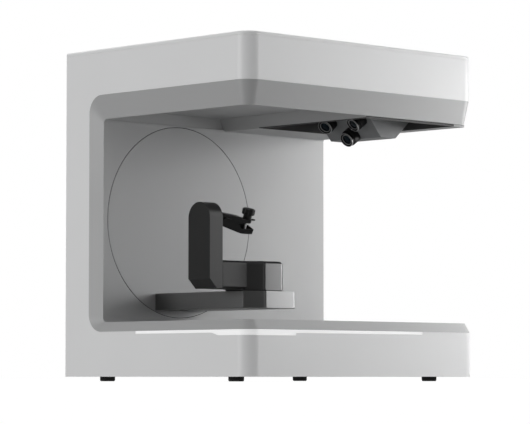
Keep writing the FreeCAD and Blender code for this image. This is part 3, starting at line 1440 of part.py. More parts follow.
cowl_holes = []
bracket_holes = []
rings = []
barrels = []
glasses = []
barrel_start = lens_distance + ring_length
case_start = barrel_start + barrel_length
for name, lateral, elevation, length in lenses:
    cowl_hole = doc.addObject("Part::Cylinder", f"cowl_hole_{name}")
    bind(cowl_hole, "Radius", barrel_radius + contact_gap)
    bind(cowl_hole, "Height", barrel_length)
    cowl_holes.append(aimed(cowl_hole, lateral, elevation, barrel_start))
    bracket_hole = doc.addObject("Part::Cylinder", f"bracket_hole_{name}")
    bind(bracket_hole, "Radius", barrel_radius + contact_gap)
    bind(bracket_hole, "Height", barrel_length * 2)
    bracket_holes.append(aimed(bracket_hole, lateral, elevation, barrel_start))

    ring = turned(f"lens_ring_{name}", [
        (glass_radius, 1.2), (ring_radius - 1.2, 0), (ring_radius - 0.4, 0), (ring_radius, 0.4),
        (ring_radius, ring_length), (glass_radius, ring_length),
    ])
    rings.append(aimed(ring, lateral, elevation, lens_distance))
    barrel = turned(f"lens_barrel_{name}", [
        (glass_radius, 0), (barrel_radius - 0.6, 0), (barrel_radius, 0.6), (barrel_radius, barrel_length),
        (glass_radius, barrel_length),
    ])
    barrels.append(aimed(barrel, lateral, elevation, barrel_start))
    glass_disc = doc.addObject("Part::Cylinder", f"glass_disc_{name}")
    bind(glass_disc, "Radius", glass_radius)
    bind(glass_disc, "Height", 2.6)
    glass_disc.Placement.Base = FreeCAD.Vector(0, 0, 1.2)
    dome = doc.addObject("Part::Sphere", f"glass_dome_{name}")
    bind(dome, "Radius", glass_radius * 2.4)
    bind(dome, "Placement.Base.z", glass_radius * 2.4 + 1.2)
    glasses.append(aimed(common(f"lens_glass_{name}", glass_disc, dome), lateral, elevation, lens_distance))
    half = camera_side / 2
    case = padded(
        f"{name}_case", "XY_Plane",
        [(-half, -half), (half, -half), (half, half), (-half, half)], 0, length,
    )
    chamfer_edges(case, f"{name}_case_edges", edge_break, upright)
    fins = [
        block(f"{name}_fin_{number}", (-half - 1, half + 1), (-half - 1, half + 1),
              (length - 4 - 4 * number, length - 2 - 4 * number))
        for number in range(3)
    ]
    core = rod(f"{name}_core", "z", camera_side / 2 - 2, 0, length, (0, 0))
    finned = cut(f"{name}_fins", fuse(f"{name}_fin_blocks", *fins), core)
    keep(aimed(cut(name, case, finned), lateral, elevation, case_start))

keep(group("lens_rings", *rings))
keep(group("lens_barrels", *barrels))
keep(group("lens_glasses", *glasses))
keep(cut("optics_cowl", cowl_blank, cowl_room, *cowl_holes))

stem_half = cowl_width / 2 - cowl_wall - contact_gap
stem = padded(
    "bracket_stem", "XZ_Plane",
    [facing(bracket_place, -31), facing(bracket_place + bracket_sheet, -31), facing(bracket_place + bracket_sheet, 24),
     facing(bracket_place, 24)],
    turn_y - stem_half, stem_half * 2,
)
arms = padded(
    "bracket_arms", "XZ_Plane",
    [facing(bracket_place, 12), facing(bracket_place + bracket_sheet, 12), facing(bracket_place + bracket_sheet, 24),
     facing(bracket_place, 24)],
    slot_front + contact_gap, slot_back - slot_front - contact_gap * 2,
)
keep(cut("optics_bracket", fuse("bracket_sheet_whole", stem, arms), *bracket_holes))

# ---------------------------------------------------------------- checks and files

doc.recompute()
for item in doc.Objects:
    if "Invalid" in item.State or "Error" in item.State:
        raise RuntimeError(f"{item.Name} failed: {item.State}")

os.makedirs("parts", exist_ok=True)
for item in pieces:
    if item.Shape.isNull() or not item.Shape.isValid():
        raise RuntimeError(f"{item.Label} has no valid shape")
    item.Shape.exportStep(f"parts/{item.Label}.step")
    print(f"{item.Label}: {len(item.Shape.Solids)} solids, {item.Shape.Volume:.0f} mm3")
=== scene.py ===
import math

import bmesh
import bpy
import numpy as np
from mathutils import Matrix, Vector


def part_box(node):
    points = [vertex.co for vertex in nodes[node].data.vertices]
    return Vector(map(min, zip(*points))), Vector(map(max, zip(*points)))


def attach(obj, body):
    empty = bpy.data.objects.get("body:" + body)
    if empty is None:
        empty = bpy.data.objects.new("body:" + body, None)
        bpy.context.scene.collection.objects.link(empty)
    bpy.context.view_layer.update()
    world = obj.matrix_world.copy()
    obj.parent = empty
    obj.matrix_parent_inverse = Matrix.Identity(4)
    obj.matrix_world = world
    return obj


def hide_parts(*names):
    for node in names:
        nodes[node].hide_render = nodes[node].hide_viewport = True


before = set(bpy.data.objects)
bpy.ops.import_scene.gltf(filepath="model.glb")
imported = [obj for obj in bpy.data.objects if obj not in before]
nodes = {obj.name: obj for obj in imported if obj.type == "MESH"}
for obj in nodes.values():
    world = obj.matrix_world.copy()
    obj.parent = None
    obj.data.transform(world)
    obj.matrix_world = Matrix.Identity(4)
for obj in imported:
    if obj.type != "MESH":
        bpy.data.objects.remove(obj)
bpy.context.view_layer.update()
print("frame loaded,", len(nodes), "nodes")


cameraSet = {
    "place": (-2.02118, -2.08533, 0.00449),  # metres
    "heading": 43.972,  # degrees from +Y towards +X
    "tilt": 3.489,  # degrees above the horizon
    "focus": 2706.21,  # pixels of a frame 530 wide
    "frameWidth": 530,
    "sensor": 36.0,  # millimetres
    "clip": (0.05, 60.0),  # metres
}


# lens = focus * sensor / frame width; the camera looks level, then tilts up and turns to its heading
def makeCamera():
    data = bpy.data.cameras.new("camera")
    data.sensor_fit = "HORIZONTAL"
    data.sensor_width = cameraSet["sensor"]
    data.lens = cameraSet["focus"] * cameraSet["sensor"] / cameraSet["frameWidth"]
    data.clip_start, data.clip_end = cameraSet["clip"]
    holder = bpy.data.objects.new("camera", data)
    holder.location = cameraSet["place"]
    holder.rotation_euler = (
        math.radians(90 + cameraSet["tilt"]), 0.0, -math.radians(cameraSet["heading"]))
    bpy.context.scene.collection.objects.link(holder)
    bpy.context.scene.camera = holder


makeCamera()


# one output of a node: sums, differences and products of it become Math nodes
class Wire:
    def __init__(self, tree, socket):
        self.tree = tree
        self.socket = socket

    # another output of the same node
    def output(self, name):
        return Wire(self.tree, self.socket.node.outputs[name])

    def math(self, operation, first, second):
        return self.tree.node("ShaderNodeMath", {"operation": operation}, (first, second))

    def __add__(self, other):
        return self.math("ADD", self, other)

    def __sub__(self, other):
        return self.math("SUBTRACT", self, other)

    def __rsub__(self, other):
        return self.math("SUBTRACT", other, self)

    def __mul__(self, other):
        return self.math("MULTIPLY", self, other)

    __radd__ = __add__
    __rmul__ = __mul__


# the nodes of a material or of the sky
class NodeTree:
    def __init__(self, holder):
        holder.use_nodes = True
        self.holder = holder
        self.nodes = holder.node_tree.nodes
        self.links = holder.node_tree.links
        self.nodes.clear()

    # every node: its type, its settings or a ramp's stops, then its sockets' values or links
    def node(self, kind, settings, inputs, output=0):
        made = self.nodes.new(kind)
        for key, value in settings.items():
            if key == "stops":
                self.setStops(made.color_ramp.elements, value)
            else:
                setattr(made, key, value)
        pairs = inputs.items() if isinstance(inputs, dict) else enumerate(inputs)
        for key, value in pairs:
            if isinstance(value, Wire):
                self.links.new(value.socket, made.inputs[key])
            else:
                made.inputs[key].default_value = value
        return Wire(self, made.outputs[output]) if made.outputs else None

    # the ramp's own two stops go once the wanted ones are in
    def setStops(self, stops, wanted):
        for at, level in wanted:
            stops.new(at).color = (level, level, level, 1.0)
        stops.remove(stops[0])
        stops.remove(stops[-1])


# a material whose patterns are laid out in Object coordinates
class Finish(NodeTree):
    def __init__(self, name):
        super().__init__(bpy.data.materials.new(name))
        self.spot = self.node("ShaderNodeTexCoord", {}, {}, "Object")

    # a soft random field around 0.5, its features about size metres across
    def noise(self, size, detail):
        return self.node(
            "ShaderNodeTexNoise", {"noise_dimensions": "3D"},
            {"Vector": self.spot, "Scale": 1.0 / size, "Detail": detail})

    # the second colour where share is 1, the first where it is 0
    def mix(self, share, first, second):
        return self.node(
            "ShaderNodeMix", {"data_type": "RGBA"},
            {"Factor": share, 6: (*first, 1.0), 7: (*second, 1.0)}, 2)

    # a normal tilted by the slope of height times depth, in metres
    def bump(self, height, depth):
        return self.node(
            "ShaderNodeBump", {}, {"Height": height, "Distance": depth, "Strength": 1.0}, "Normal")

    # the shader and its output: an underscore stands for the space in a socket's name
    def surface(self, **inputs):
        named = {key.replace("_", " "): value for key, value in inputs.items()}
        shader = self.node("ShaderNodeBsdfPrincipled", {}, named)
        self.node("ShaderNodeOutputMaterial", {}, {"Surface": shader})
        return self.holder


# a grey of one level, with red taken down and blue up by the share cool
def grey(level, cool=0.0):
    return (level * (1 - cool), level, level * (1 + cool))


# what a finish has where it says nothing else
plainLook = {
    "cool": 0.0, "drift": 0.1,  # shares of the tone
    "rough": 0.4, "roughDrift": 0.08, "metal": 0.0, "coat": 0.0,
    "specular": 0.5, "tint": (1.0, 1.0, 1.0), "glow": 0.0,
    "grain": 0.0004, "depth": 0.00001, "cloud": 0.06,  # metres
    "grainDetail": 2.0, "cloudDetail": 1.0,  # how many finer layers each noise has
}

finishSet = {
    # plastic, rubber and circuit board
    "whiteShell": {"tone": 0.86, "cool": 0.004, "drift": 0.01, "rough": 0.42, "grain": 0.0007, "depth": 0.000012},
    "greyLiner": {"tone": 0.42, "cool": 0.006, "drift": 0.01, "grain": 0.0006},
    "greyDisc": {"tone": 0.42, "cool": 0.006, "drift": 0.01, "grain": 0.0006},
    "plumCowl": {"tone": 0.24, "cool": 0.02, "drift": 0.03, "rough": 0.5, "grain": 0.0005, "depth": 0.000008},
    "blackPlastic": {"tone": 0.018, "rough": 0.45, "grain": 0.0005},
    "bayBlack": {"tone": 0.05, "drift": 0.08, "rough": 0.55, "grain": 0.0006},
    "knobBlack": {"tone": 0.01, "specular": 0.25, "grain": 0.0003, "depth": 0.000008},
    "diffuser": {"tone": 0.88, "cool": 0.003, "drift": 0.01, "rough": 0.5, "glow": 0.3, "depth": 0.000003},
    "rubber": {"tone": 0.012, "rough": 0.7, "grain": 0.0006, "depth": 0.00002},
    "boardGreen": {"tone": 0.05, "grain": 0.0015, "depth": 0.00002},
    # painted and anodised metal
    "motorBlack": {"tone": 0.03, "rough": 0.5, "grain": 0.001, "depth": 0.00002},
    "blackAnodised": {"tone": 0.035, "cool": 0.01, "rough": 0.38, "depth": 0.000006},
    "armBlack": {
        "tone": 0.021, "cool": 0.004, "drift": 0.08, "rough": 0.34, "specular": 0.35, "depth": 0.000006},
    "jawBlack": {"tone": 0.006, "rough": 0.34, "specular": 0.1, "depth": 0.000006},
    "barrelBlack": {"tone": 0.006, "rough": 0.46, "specular": 0.2, "grain": 0.0003, "depth": 0.000005},
    "hubMetal": {"tone": 0.135, "cool": 0.004, "drift": 0.06, "rough": 0.28, "metal": 0.9, "depth": 0.000005},
    "beamMetal": {"tone": 0.27, "cool": 0.003, "drift": 0.06, "rough": 0.3, "metal": 1.0, "depth": 0.000005},
    # bare metal and glass
    "steel": {"tone": 0.60, "cool": 0.002, "drift": 0.06, "rough": 0.25, "metal": 1.0, "depth": 0.000004},
    "zincSheet": {"tone": 0.55, "cool": 0.006, "drift": 0.12, "metal": 1.0, "grain": 0.006},
    "brightSteel": {
        "tone": 0.9, "cool": 0.002, "drift": 0.04, "rough": 0.5, "metal": 0.2, "grain": 0.0003, "depth": 0.000003},
    "ringGrey": {
        "tone": 0.2, "cool": 0.01, "drift": 0.06, "rough": 0.6, "metal": 0.4, "grain": 0.0003, "depth": 0.000003},
    "rimGrey": {
        "tone": 0.45, "cool": 0.004, "drift": 0.04, "rough": 0.45, "metal": 0.5, "grain": 0.0003, "depth": 0.000002},
    "lensGlass": {
        "tone": 0.01, "cool": 0.4, "rough": 0.08, "specular": 0.12, "tint": (0.25, 0.75, 1.0),
        "grain": 0.001, "depth": 0.0, "coat": 0.15},
}

white = (1.0, 1.0, 1.0, 1.0)


# a fine grain stands out by depth, and a broad cloud moves tone and roughness a little
def makeFinish(name):
    look = {**plainLook, **finishSet[name]}
    finish = Finish(name)
    grain = finish.noise(look["grain"], look["grainDetail"])
    cloud = finish.noise(look["cloud"], look["cloudDetail"])
    low = grey(look["tone"] * (1 - look["drift"]), look["cool"])
    high = grey(look["tone"] * (1 + look["drift"]), look["cool"])
    return finish.surface(
        Base_Color=finish.mix(cloud, low, high),
        Roughness=look["rough"] + look["roughDrift"] * (cloud - 0.5),
        Metallic=look["metal"],
        Coat_Weight=look["coat"],
        Specular_IOR_Level=look["specular"],
        Specular_Tint=(*look["tint"], 1.0),
        Emission_Color=white,
        Emission_Strength=look["glow"],
        Normal=finish.bump(grain, look["depth"]))


finishes = {name: makeFinish(name) for name in finishSet}

slotFinish = {
    "white_shell": "whiteShell", "grey_liner": "greyLiner", "grey_disc": "greyDisc",
    "black_anodised": "blackAnodised", "black_plastic": "blackPlastic", "plum_cowl": "plumCowl",
    "diffuser": "diffuser", "steel": "steel", "zinc_sheet": "zincSheet", "motor_black": "motorBlack",
    "ring_grey": "ringGrey", "lens_glass": "lensGlass", "rubber": "rubber", "belt_rubber": "rubber",
    "board_green": "boardGreen",
}

# nodes whose finish isn't their slot's
nodeFinish = {
    "jaw_pin": "jawBlack", "lens_barrels": "barrelBlack", "lens_rings": "barrelBlack", "clamp_screw": "brightSteel"}


# each slot of a node gets the finish of the slot's name, or the node's own
def dressNodes():
    for key, node in nodes.items():
        for slot in node.material_slots:
            name = slot.material.name.split(".")[0]
            slot.material = finishes[nodeFinish.get(key, slotFinish[name])]


dressNodes()
print("finishes set")


# solids are grids of points in millimetres, and their meshes are in metres
mm = 0.001
meshSet = {
    "merge": 1e-6, "nodeMerge": 2e-6,  # metres
    "flat": 0.5, "sharp": 32, "ease": 35,  # degrees
}


# a node's lowest and highest corners at rest, in millimetres
def boxOf(name):
    low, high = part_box(name)
    return np.array(low) / mm, np.array(high) / mm


# rings of equal count, shape (rings, points, 3): quads span from ring to ring, the first and last ring are filled
def skinRings(rings):
    count, around = rings.shape[:2]
    index = np.arange(count * around).reshape(count, around)
    beside = np.roll(index, -1, 1)
    quads = np.stack([index[:-1], beside[:-1], beside[1:], index[1:]], -1).reshape(-1, 4)
    return rings.reshape(-1, 3), quads.tolist() + [index[0][::-1].tolist(), index[-1].tolist()]


# corner arcs: the centre is on the corner's bisector, radius / sin(half) away, and the angle runs evenly
# between the feet of the arc
def roundedOutline(corners, radii, steps=7):
    corners = np.array(corners, float)
    radius = np.broadcast_to(np.array(radii, float), len(corners))[:, None]
    back = np.roll(corners, 1, 0) - corners
    ahead = np.roll(corners, -1, 0) - corners
    back /= np.linalg.norm(back, axis=1, keepdims=True)
    ahead /= np.linalg.norm(ahead, axis=1, keepdims=True)
    half = np.arccos(np.clip((back * ahead).sum(1, keepdims=True), -1, 1)) / 2
    middle = (back + ahead) / np.linalg.norm(back + ahead, axis=1, keepdims=True)
    centre = corners + middle * radius / np.sin(half)
    first = corners + back * radius / np.tan(half) - centre
    last = corners + ahead * radius / np.tan(half) - centre
    start = np.arctan2(first[:, 1], first[:, 0])
    turn = (np.arctan2(last[:, 1], last[:, 0]) - start + math.pi) % (2 * math.pi) - math.pi
    angle = start[:, None] + turn[:, None] * np.linspace(0, 1, steps)
    arc = np.stack([np.cos(angle), np.sin(angle)], -1) * radius[:, :, None]
    return (centre[:, None] + arc).reshape(-1, 2)


# a flat outline carried straight along one axis, from low to high
def prism(outline, axis, low, high):
    outline = np.asarray(outline, float)
    rings = np.empty((2, len(outline), 3))
    rest = [at for at in range(3) if at != axis]
    rings[:, :, rest] = outline
    rings[0, :, axis] = low
    rings[1, :, axis] = high
    return skinRings(rings)


# a rectangle carried up from the low corner to the high one
def cuboid(low, high):
    outline = [(low[0], low[1]), (high[0], low[1]), (high[0], high[1]), (low[0], high[1])]
    return prism(outline, 2, low[2], high[2])


# a profile of (radius, height) turned round the z axis: x = r cos a, y = r sin a, with r varied by lobe(a, r, h)
def revolve(profile, around, lobe=None):
    profile = np.array(profile, float)
    angle = np.arange(around) * 2 * math.pi / around
    radius = np.repeat(profile[:, :1], around, 1)
    if lobe is not None:
        radius = lobe(angle[None], radius, profile[:, 1:])
    height = np.repeat(profile[:, 1:], around, 1)
    return skinRings(np.stack([radius * np.cos(angle), radius * np.sin(angle), height], -1))


# a closed profile of (radius, depth) turned round a line: centre + radius * spoke + depth * way
def ringSolid(centre, way, profile, around):
    way = np.array(way, float)
    side = np.cross(way, (1.0, 0.0, 0.0))
    side /= np.linalg.norm(side)
    angle = np.arange(around)[:, None] * 2 * math.pi / around
    spoke = np.cos(angle) * side + np.sin(angle) * np.cross(way, side)
    points = centre + profile[:, None, :1] * spoke + profile[:, None, 1:] * way
    index = np.arange(len(profile) * around).reshape(-1, around)
    ahead = np.roll(index, -1, 0)
    quads = np.stack([index, np.roll(index, -1, 1), np.roll(ahead, -1, 1), ahead], -1)
    return points.reshape(-1, 3), quads.reshape(-1, 4).tolist()


# every point plus the shift
def moved(solid, shift):
    return solid[0] + np.array(shift, float), solid[1]


# turned about the x axis, y towards z, then moved
def rolled(solid, angle, at):
    c, s = math.cos(angle), math.sin(angle)
    turn = np.array([[1, 0, 0], [0, c, -s], [0, s, c]])
    return solid[0] @ turn.T + np.array(at, float), solid[1]


# several solids as one: each one's faces count on from the points before it
def joined(solids):
    starts = np.cumsum([0] + [len(points) for points, _ in solids])
    faces = [[start + at for at in face] for start, (_, part) in zip(starts, solids) for face in part]
    return np.concatenate([points for points, _ in solids]), faces


# doubles merged, coplanar faces joined if flat is given, and round faces smooth between sharp edges
def cleanMesh(mesh, merge, flat=0.0, outward=True):
    work = bmesh.new()
    work.from_mesh(mesh)
    bmesh.ops.remove_doubles(work, verts=work.verts, dist=merge)
    if flat:
        bmesh.ops.dissolve_limit(
            work, angle_limit=math.radians(flat), verts=work.verts, edges=work.edges)
    if outward:
        bmesh.ops.recalc_face_normals(work, faces=work.faces)
    work.to_mesh(mesh)
    work.free()
    mesh.polygons.foreach_set("use_smooth", np.ones(len(mesh.polygons), bool))
    mesh.set_sharp_from_angle(angle=math.radians(meshSet["sharp"]))


# a node's faces already point outwards
def cleanNode(mesh):
    cleanMesh(mesh, meshSet["nodeMerge"], meshSet["flat"], False)


# one mesh of the solids, every point times mm
def solidMesh(name, solids):
    points, faces = joined(solids)
    mesh = bpy.data.meshes.new(name)
    mesh.from_pydata((points * mm).tolist(), [], faces)
    cleanMesh(mesh, meshSet["merge"])
    return mesh


# a merged copy of a node: its triangles become flat faces again
def nodeCopy(name):
    mesh = nodes[name].data.copy()
    mesh.name = name + "Merged"
    if "custom_normal" in mesh.attributes:
        mesh.attributes.remove(mesh.attributes["custom_normal"])
    cleanNode(mesh)
    return mesh


# corners sharper than the ease angle are rounded by a Bevel of the look's ease, in millimetres
def addPiece(name, mesh, look, replaced=()):
    piece = bpy.data.objects.new(name, mesh)
    bpy.context.scene.collection.objects.link(piece)
    mesh.materials.clear()
    mesh.materials.append(finishes[look["finish"]])
    if "ease" in look:
        bevel = piece.modifiers.new("ease", "BEVEL")
        bevel.width = look["ease"] * mm
        bevel.segments = look.get("steps", 3)
        bevel.limit_method = "ANGLE"
        bevel.angle_limit = math.radians(meshSet["ease"])
        bevel.use_clamp_overlap = True
        bevel.harden_normals = True
    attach(piece, look["body"])
    if replaced:
        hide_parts(*replaced)


# a piece made of solids
def addSolid(name, solids, look, replaced=()):
    addPiece(name, solidMesh(name, solids), look, replaced)


easeSet = {
    "shell": {"finish": "whiteShell", "slot": "white_shell", "body": "housing", "ease": 1.0},
    "top_cover": {"finish": "whiteShell", "slot": "white_shell", "body": "housing", "ease": 0.5},
    "back_cover": {"finish": "whiteShell", "slot": "white_shell", "body": "housing", "ease": 0.3},
}


# the nodes' own shapes with rounded edges
def easeNodes():
    for name, look in easeSet.items():
        addPiece(name + "Eased", nodeCopy(name), look, [name])


# the hub under the sample arm: a square with cut and rounded corners, and chamfered edges
hubSet = {
    "half": 29.5, "cut": 16.4, "corner": 5.0, "topEdge": 2.5, "footEdge": 0.6,
    "finish": "hubMetal", "slot": "black_anodised", "body": "turntable", "ease": 0.2, "steps": 2}


# four rings from the foot up: drawn in by the foot's edge, full size twice, drawn in by the top's edge
def makeHub():
    low, high = boxOf("turntable_hub")
    middle = (low + high) / 2

    # the hub's ring at one height: every side, the cut corners too, moves in by the same inset
    def ring(inset, z):
        half = hubSet["half"] - inset
        flat = hubSet["half"] - hubSet["cut"] - inset * math.tan(math.pi / 8)
        corners = [
            (-flat, -half), (flat, -half), (half, -flat), (half, flat),
            (flat, half), (-flat, half), (-half, flat), (-half, -flat)]
        outline = roundedOutline(corners, hubSet["corner"]) + middle[:2]
        return np.column_stack([outline, np.full(len(outline), z)])

    foot, top = hubSet["footEdge"], hubSet["topEdge"]
    rings = np.array([
        ring(foot, low[2]), ring(0, low[2] + foot), ring(0, high[2] - top), ring(top, high[2])])
    addSolid("hubBody", [skinRings(rings)], hubSet, ["turntable_hub"])


# the L-shaped sample arm: a bar on the hub and a post whose top is half round
armSet = {
    "width": 32.9, "lift": 2.1, "postLeft": -134.4, "postRight": -116.0, "footCut": 10.0, "archPoints": 29,
    "topEdge": 2.3, "footEdge": 1.9, "intoHub": -80.6,
    "finish": "armBlack", "slot": "black_anodised", "body": "turntable", "ease": 0.4}


# the bar is an outline in (y, z) with four cut corners, carried along x from the post into the hub
def makeArm():
    hubLow, hubHigh = boxOf("turntable_hub")
    socketLow, socketHigh = boxOf("holder_socket")
    middle = (hubLow + hubHigh)[1] / 2
    half = armSet["width"] / 2
    front, back = middle - half, middle + half
    foot, top = boxOf("swing_beam")[1][2] + armSet["lift"], hubHigh[2]
    holder = (socketLow + socketHigh)[2] / 2
    low, high = armSet["footEdge"], armSet["topEdge"]
    outline = [
        (front + low, foot), (back - low, foot), (back, foot + low), (back, top - high),
        (back - high, top), (front + high, top), (front, top - high), (front, foot + low)]
    addSolid("armBar", [prism(outline, 0, armSet["postRight"], armSet["intoHub"])], armSet, ["arm_base"])

    # the post's ring at one x: a flat foot, straight sides, and z = holder + r sin a over the top
    def postRing(x, low):
        angle = np.linspace(0, math.pi, armSet["archPoints"])
        arch = np.stack([middle + half * np.cos(angle), holder + half * np.sin(angle)], 1)
        flat = np.concatenate([[(front, low), (back, low)], arch])
        return np.column_stack([np.full(len(flat), x), flat])

    left, right, cut = armSet["postLeft"], armSet["postRight"], armSet["footCut"]
    rings = np.array([postRing(left, foot + cut), postRing(left + cut, foot), postRing(right, foot)])
    addSolid("armPost", [skinRings(rings)], armSet, ["arm_post"])


# the swing beam and its lid: a long box with a cut and rounded nose
beamSet = {
    "leftCut": 16.4, "rightCut": 11.6, "corner": 5.0, "tail": 0.2,
    "finish": "beamMetal", "slot": "black_anodised", "body": "swing_arm", "ease": 0.9}


# one outline in (x, y), carried up from the lid's foot to the beam's top
def makeBeam():
    low, high = boxOf("swing_beam")
    lidLow = boxOf("beam_cover")[0][2]
    left, right = beamSet["leftCut"], beamSet["rightCut"]
    corners = [
        (low[0], high[1]), (low[0], low[1] + left), (low[0] + left, low[1]),
        (high[0] - right, low[1]), (high[0], low[1] + right), (high[0], high[1])]
    corner, tail = beamSet["corner"], beamSet["tail"]
    outline = roundedOutline(corners, [tail, tail, corner, corner, tail, tail])
    addSolid("beamBody", [prism(outline, 2, lidLow, high[2])], beamSet, ["swing_beam", "beam_cover"])


# the clamp, worked out level: x from the jaw pivot, y across, z from the holder's middle line
clampSet = {
    "roll": 18.0,  # degrees about x
    "pivot": -100.0, "screw": 33.5,
    "blade": [
        (-10.5, -4.5), (-10.5, 6.7), (-5.5, 6.7), (20.8, 4.0), (23.5, 2.0),
        (33.5, 2.0), (33.5, -2.5), (22.1, -2.5), (0.0, -4.5)],  # (x, z)
    "bladeHalf": 5.1, "tipLow": -2.5, "tipHigh": 2.0,
    "boss": 5.2, "bossEdge": 0.5, "bossPoints": 40,
    "tab": 10.4, "tabHalf": 2.0, "tabDrop": (1.8, 0.3),
    "finish": "jawBlack", "slot": "black_anodised", "body": "holder", "ease": 0.45, "steps": 2}


# rolled about x and set where the pivot meets the holder's middle line
def setClamp(solids):
    socketLow, socketHigh = boxOf("holder_socket")
    middle = (socketLow + socketHigh) / 2
    at = (clampSet["pivot"], middle[1], middle[2])
    return [rolled(solid, math.radians(clampSet["roll"]), at) for solid in solids]


# a blade cut from its outline, a round boss for the screw, and a small tab beyond it
def makeUpperJaw():
    low, high, screw = clampSet["tipLow"], clampSet["tipHigh"], clampSet["screw"]
    blade = prism(clampSet["blade"], 1, -clampSet["bladeHalf"], clampSet["bladeHalf"])
    radius, edge = clampSet["boss"], clampSet["bossEdge"]
    boss = revolve(
        [(radius - edge, low), (radius, low + edge), (radius, high - edge), (radius - edge, high)],
        clampSet["bossPoints"])
    half, (under, over) = clampSet["tabHalf"], clampSet["tabDrop"]
    tab = cuboid((screw, -half, high - under), (screw + clampSet["tab"], half, high - over))
    addSolid("upperJaw", setClamp([blade, moved(boss, (screw, 0, 0)), tab]), clampSet, ["upper_jaw"])


# the lower jaw is a bent channel: two cheeks, a floor between them with the screw's slot, and a slanted end wall
lowerSet = {
    "under": [(-6.4, -6.0), (17.4, -11.9), (23.5, -13.2), (38.8, -13.2)],  # (x, z)
    "nearEnd": [(40.0, -8.0), (22.8, -8.0)],
    "farEnd": [(40.4, -5.4), (33.6, -2.6)],
    "over": [(16.8, -2.5), (5.5, 1.8), (-3.0, 3.0), (-6.4, 0.5)],
    "cheek": 6.7, "sheet": 1.3, "lean": 0.23,
    "floorStart": (1.0, -7.8), "floor": 1.7,
    "slotAlong": (30.2, 36.6), "slotHalf": 2.8, "overlap": 0.4, "clear": (0.02, 0.03),
    "finish": "jawBlack", "slot": "black_anodised", "body": "clamp_jaw", "ease": 0.25, "steps": 2}


def makeLowerJaw():
    under, over = lowerSet["under"], lowerSet["over"]
    cheek, sheet, rise = lowerSet["cheek"], lowerSet["sheet"], lowerSet["floor"]
    (tip, low), inner = under[-1], cheek - sheet
    near = prism(under + lowerSet["nearEnd"] + over, 1, -cheek, -inner)
    far = prism(under + lowerSet["farEnd"] + over, 1, inner, cheek)

    # the floor: a bent plate up to the slot, a plate beyond it, and a strip on each side of it
    (start, end), half = lowerSet["slotAlong"], lowerSet["slotHalf"]
    line = np.array([lowerSet["floorStart"], *under[1:3], (start, low)])
    floor = [
        prism(np.concatenate([line, line[::-1] + (0, rise)]), 1, -inner, inner),
        cuboid((end, -inner, low), (tip, inner, low + rise))]
    reach, (aside, above) = lowerSet["overlap"], lowerSet["clear"]
    for left, right in ((-inner, -half), (half, inner)):
        floor.append(cuboid(
            (start - reach, left + aside, low + above),
            (end + reach, right - aside, low + rise - above)))

    # the end wall's ring at one y: its top edge climbs from the near cheek to the far one
    def wallRing(y, high):
        lean = (high - low) * lowerSet["lean"]
        return [(tip - sheet, y, low), (tip, y, low), (tip + lean, y, high), (tip - sheet + lean, y, high)]

    nearHigh, farHigh = lowerSet["nearEnd"][0][1], lowerSet["farEnd"][0][1]
    wall = skinRings(np.array([wallRing(-cheek, nearHigh), wallRing(cheek, farHigh)]))
    addSolid("lowerJaw", setClamp([near, far, wall] + floor), lowerSet, ["lower_jaw"])


knobSet = {
    "profile": [
        (4.1, 0.0), (4.5, 0.4), (4.5, 3.98), (6.2, 4.0), (6.6, 4.2),
        (6.8, 4.6), (6.8, 9.4), (6.55, 9.95), (6.0, 10.2)],  # (radius, height)
    "neckHigh": 3.99, "flute": 2.4, "fluteReach": 8.1, "flutes": 6, "around": 120, "lift": 0.3,
    "finish": "knobBlack", "slot": "black_anodised", "body": "thumb_screw"}


# flutes: on the knob's wide part r is cut back to where a ray meets the nearest flute's circle
def fluted(angle, radius, height):
    step = 2 * math.pi / knobSet["flutes"]
    off = (angle + step / 2) % step - step / 2
    reach, flute = knobSet["fluteReach"], knobSet["flute"]
    inside = np.maximum(flute ** 2 - (reach * np.sin(off)) ** 2, 0)
    cut = np.where(inside > 0, reach * np.cos(off) - np.sqrt(inside), radius)
    return np.where(height > knobSet["neckHigh"], np.minimum(radius, cut), radius)


# the profile turned round the screw's line, lift above the jaw
def makeKnob():
    top = clampSet["tipHigh"] + knobSet["lift"]
    knob = revolve(knobSet["profile"], knobSet["around"], fluted)
    addSolid("thumbKnob", setClamp([moved(knob, (clampSet["screw"], 0, top))]), knobSet, ["thumb_knob"])


# the optics: the bay's opening reaches the head's front lip, so liner, bay and cowl are made to it
opticsSet = {
    "open": ((8.8, -133.4), (145.0, 28.0)),  # (x, y) of the opening's two corners
    "wall": 2.0, "step": 294.0, "cut": (262.0, 302.0), "mouth": 10.4,
    "cowlEnd": 131.0, "cowlLow": 290.0, "cowlRight": 8.4, "slope": 1.14,
    "bay": {"finish": "bayBlack", "slot": "black_plastic", "body": "housing"},
    "liner": {"finish": "greyLiner", "slot": "grey_liner", "body": "housing", "ease": 0.8},
    "cowl": {"finish": "plumCowl", "slot": "plum_cowl", "body": "housing", "ease": 0.25, "steps": 2},
}


# the mesh without what the tool holds
def cutMesh(mesh, tool):
    pair = [bpy.data.objects.new("cutBase", mesh), bpy.data.objects.new("cutTool", tool)]
    for item in pair:
        bpy.context.scene.collection.objects.link(item)
    cut = pair[0].modifiers.new("cut", "BOOLEAN")
    cut.operation = "DIFFERENCE"
    cut.solver = "EXACT"
    cut.object = pair[1]
    bpy.context.view_layer.update()
    depsgraph = bpy.context.evaluated_depsgraph_get()
    made = bpy.data.meshes.new_from_object(pair[0].evaluated_get(depsgraph))
    for item in pair:
        bpy.data.objects.remove(item)
    return made


# the node with the opening cut through its ceiling
def makeLiner():
    (left, front), (right, back) = opticsSet["open"]
    low, high = opticsSet["cut"]
    tool = solidMesh("openingTool", [cuboid((left, front, low), (right, back, high))])
    mesh = cutMesh(nodeCopy("bay_liner"), tool)
    cleanNode(mesh)
    addPiece("bayLiner", mesh, opticsSet["liner"], ["bay_liner"])


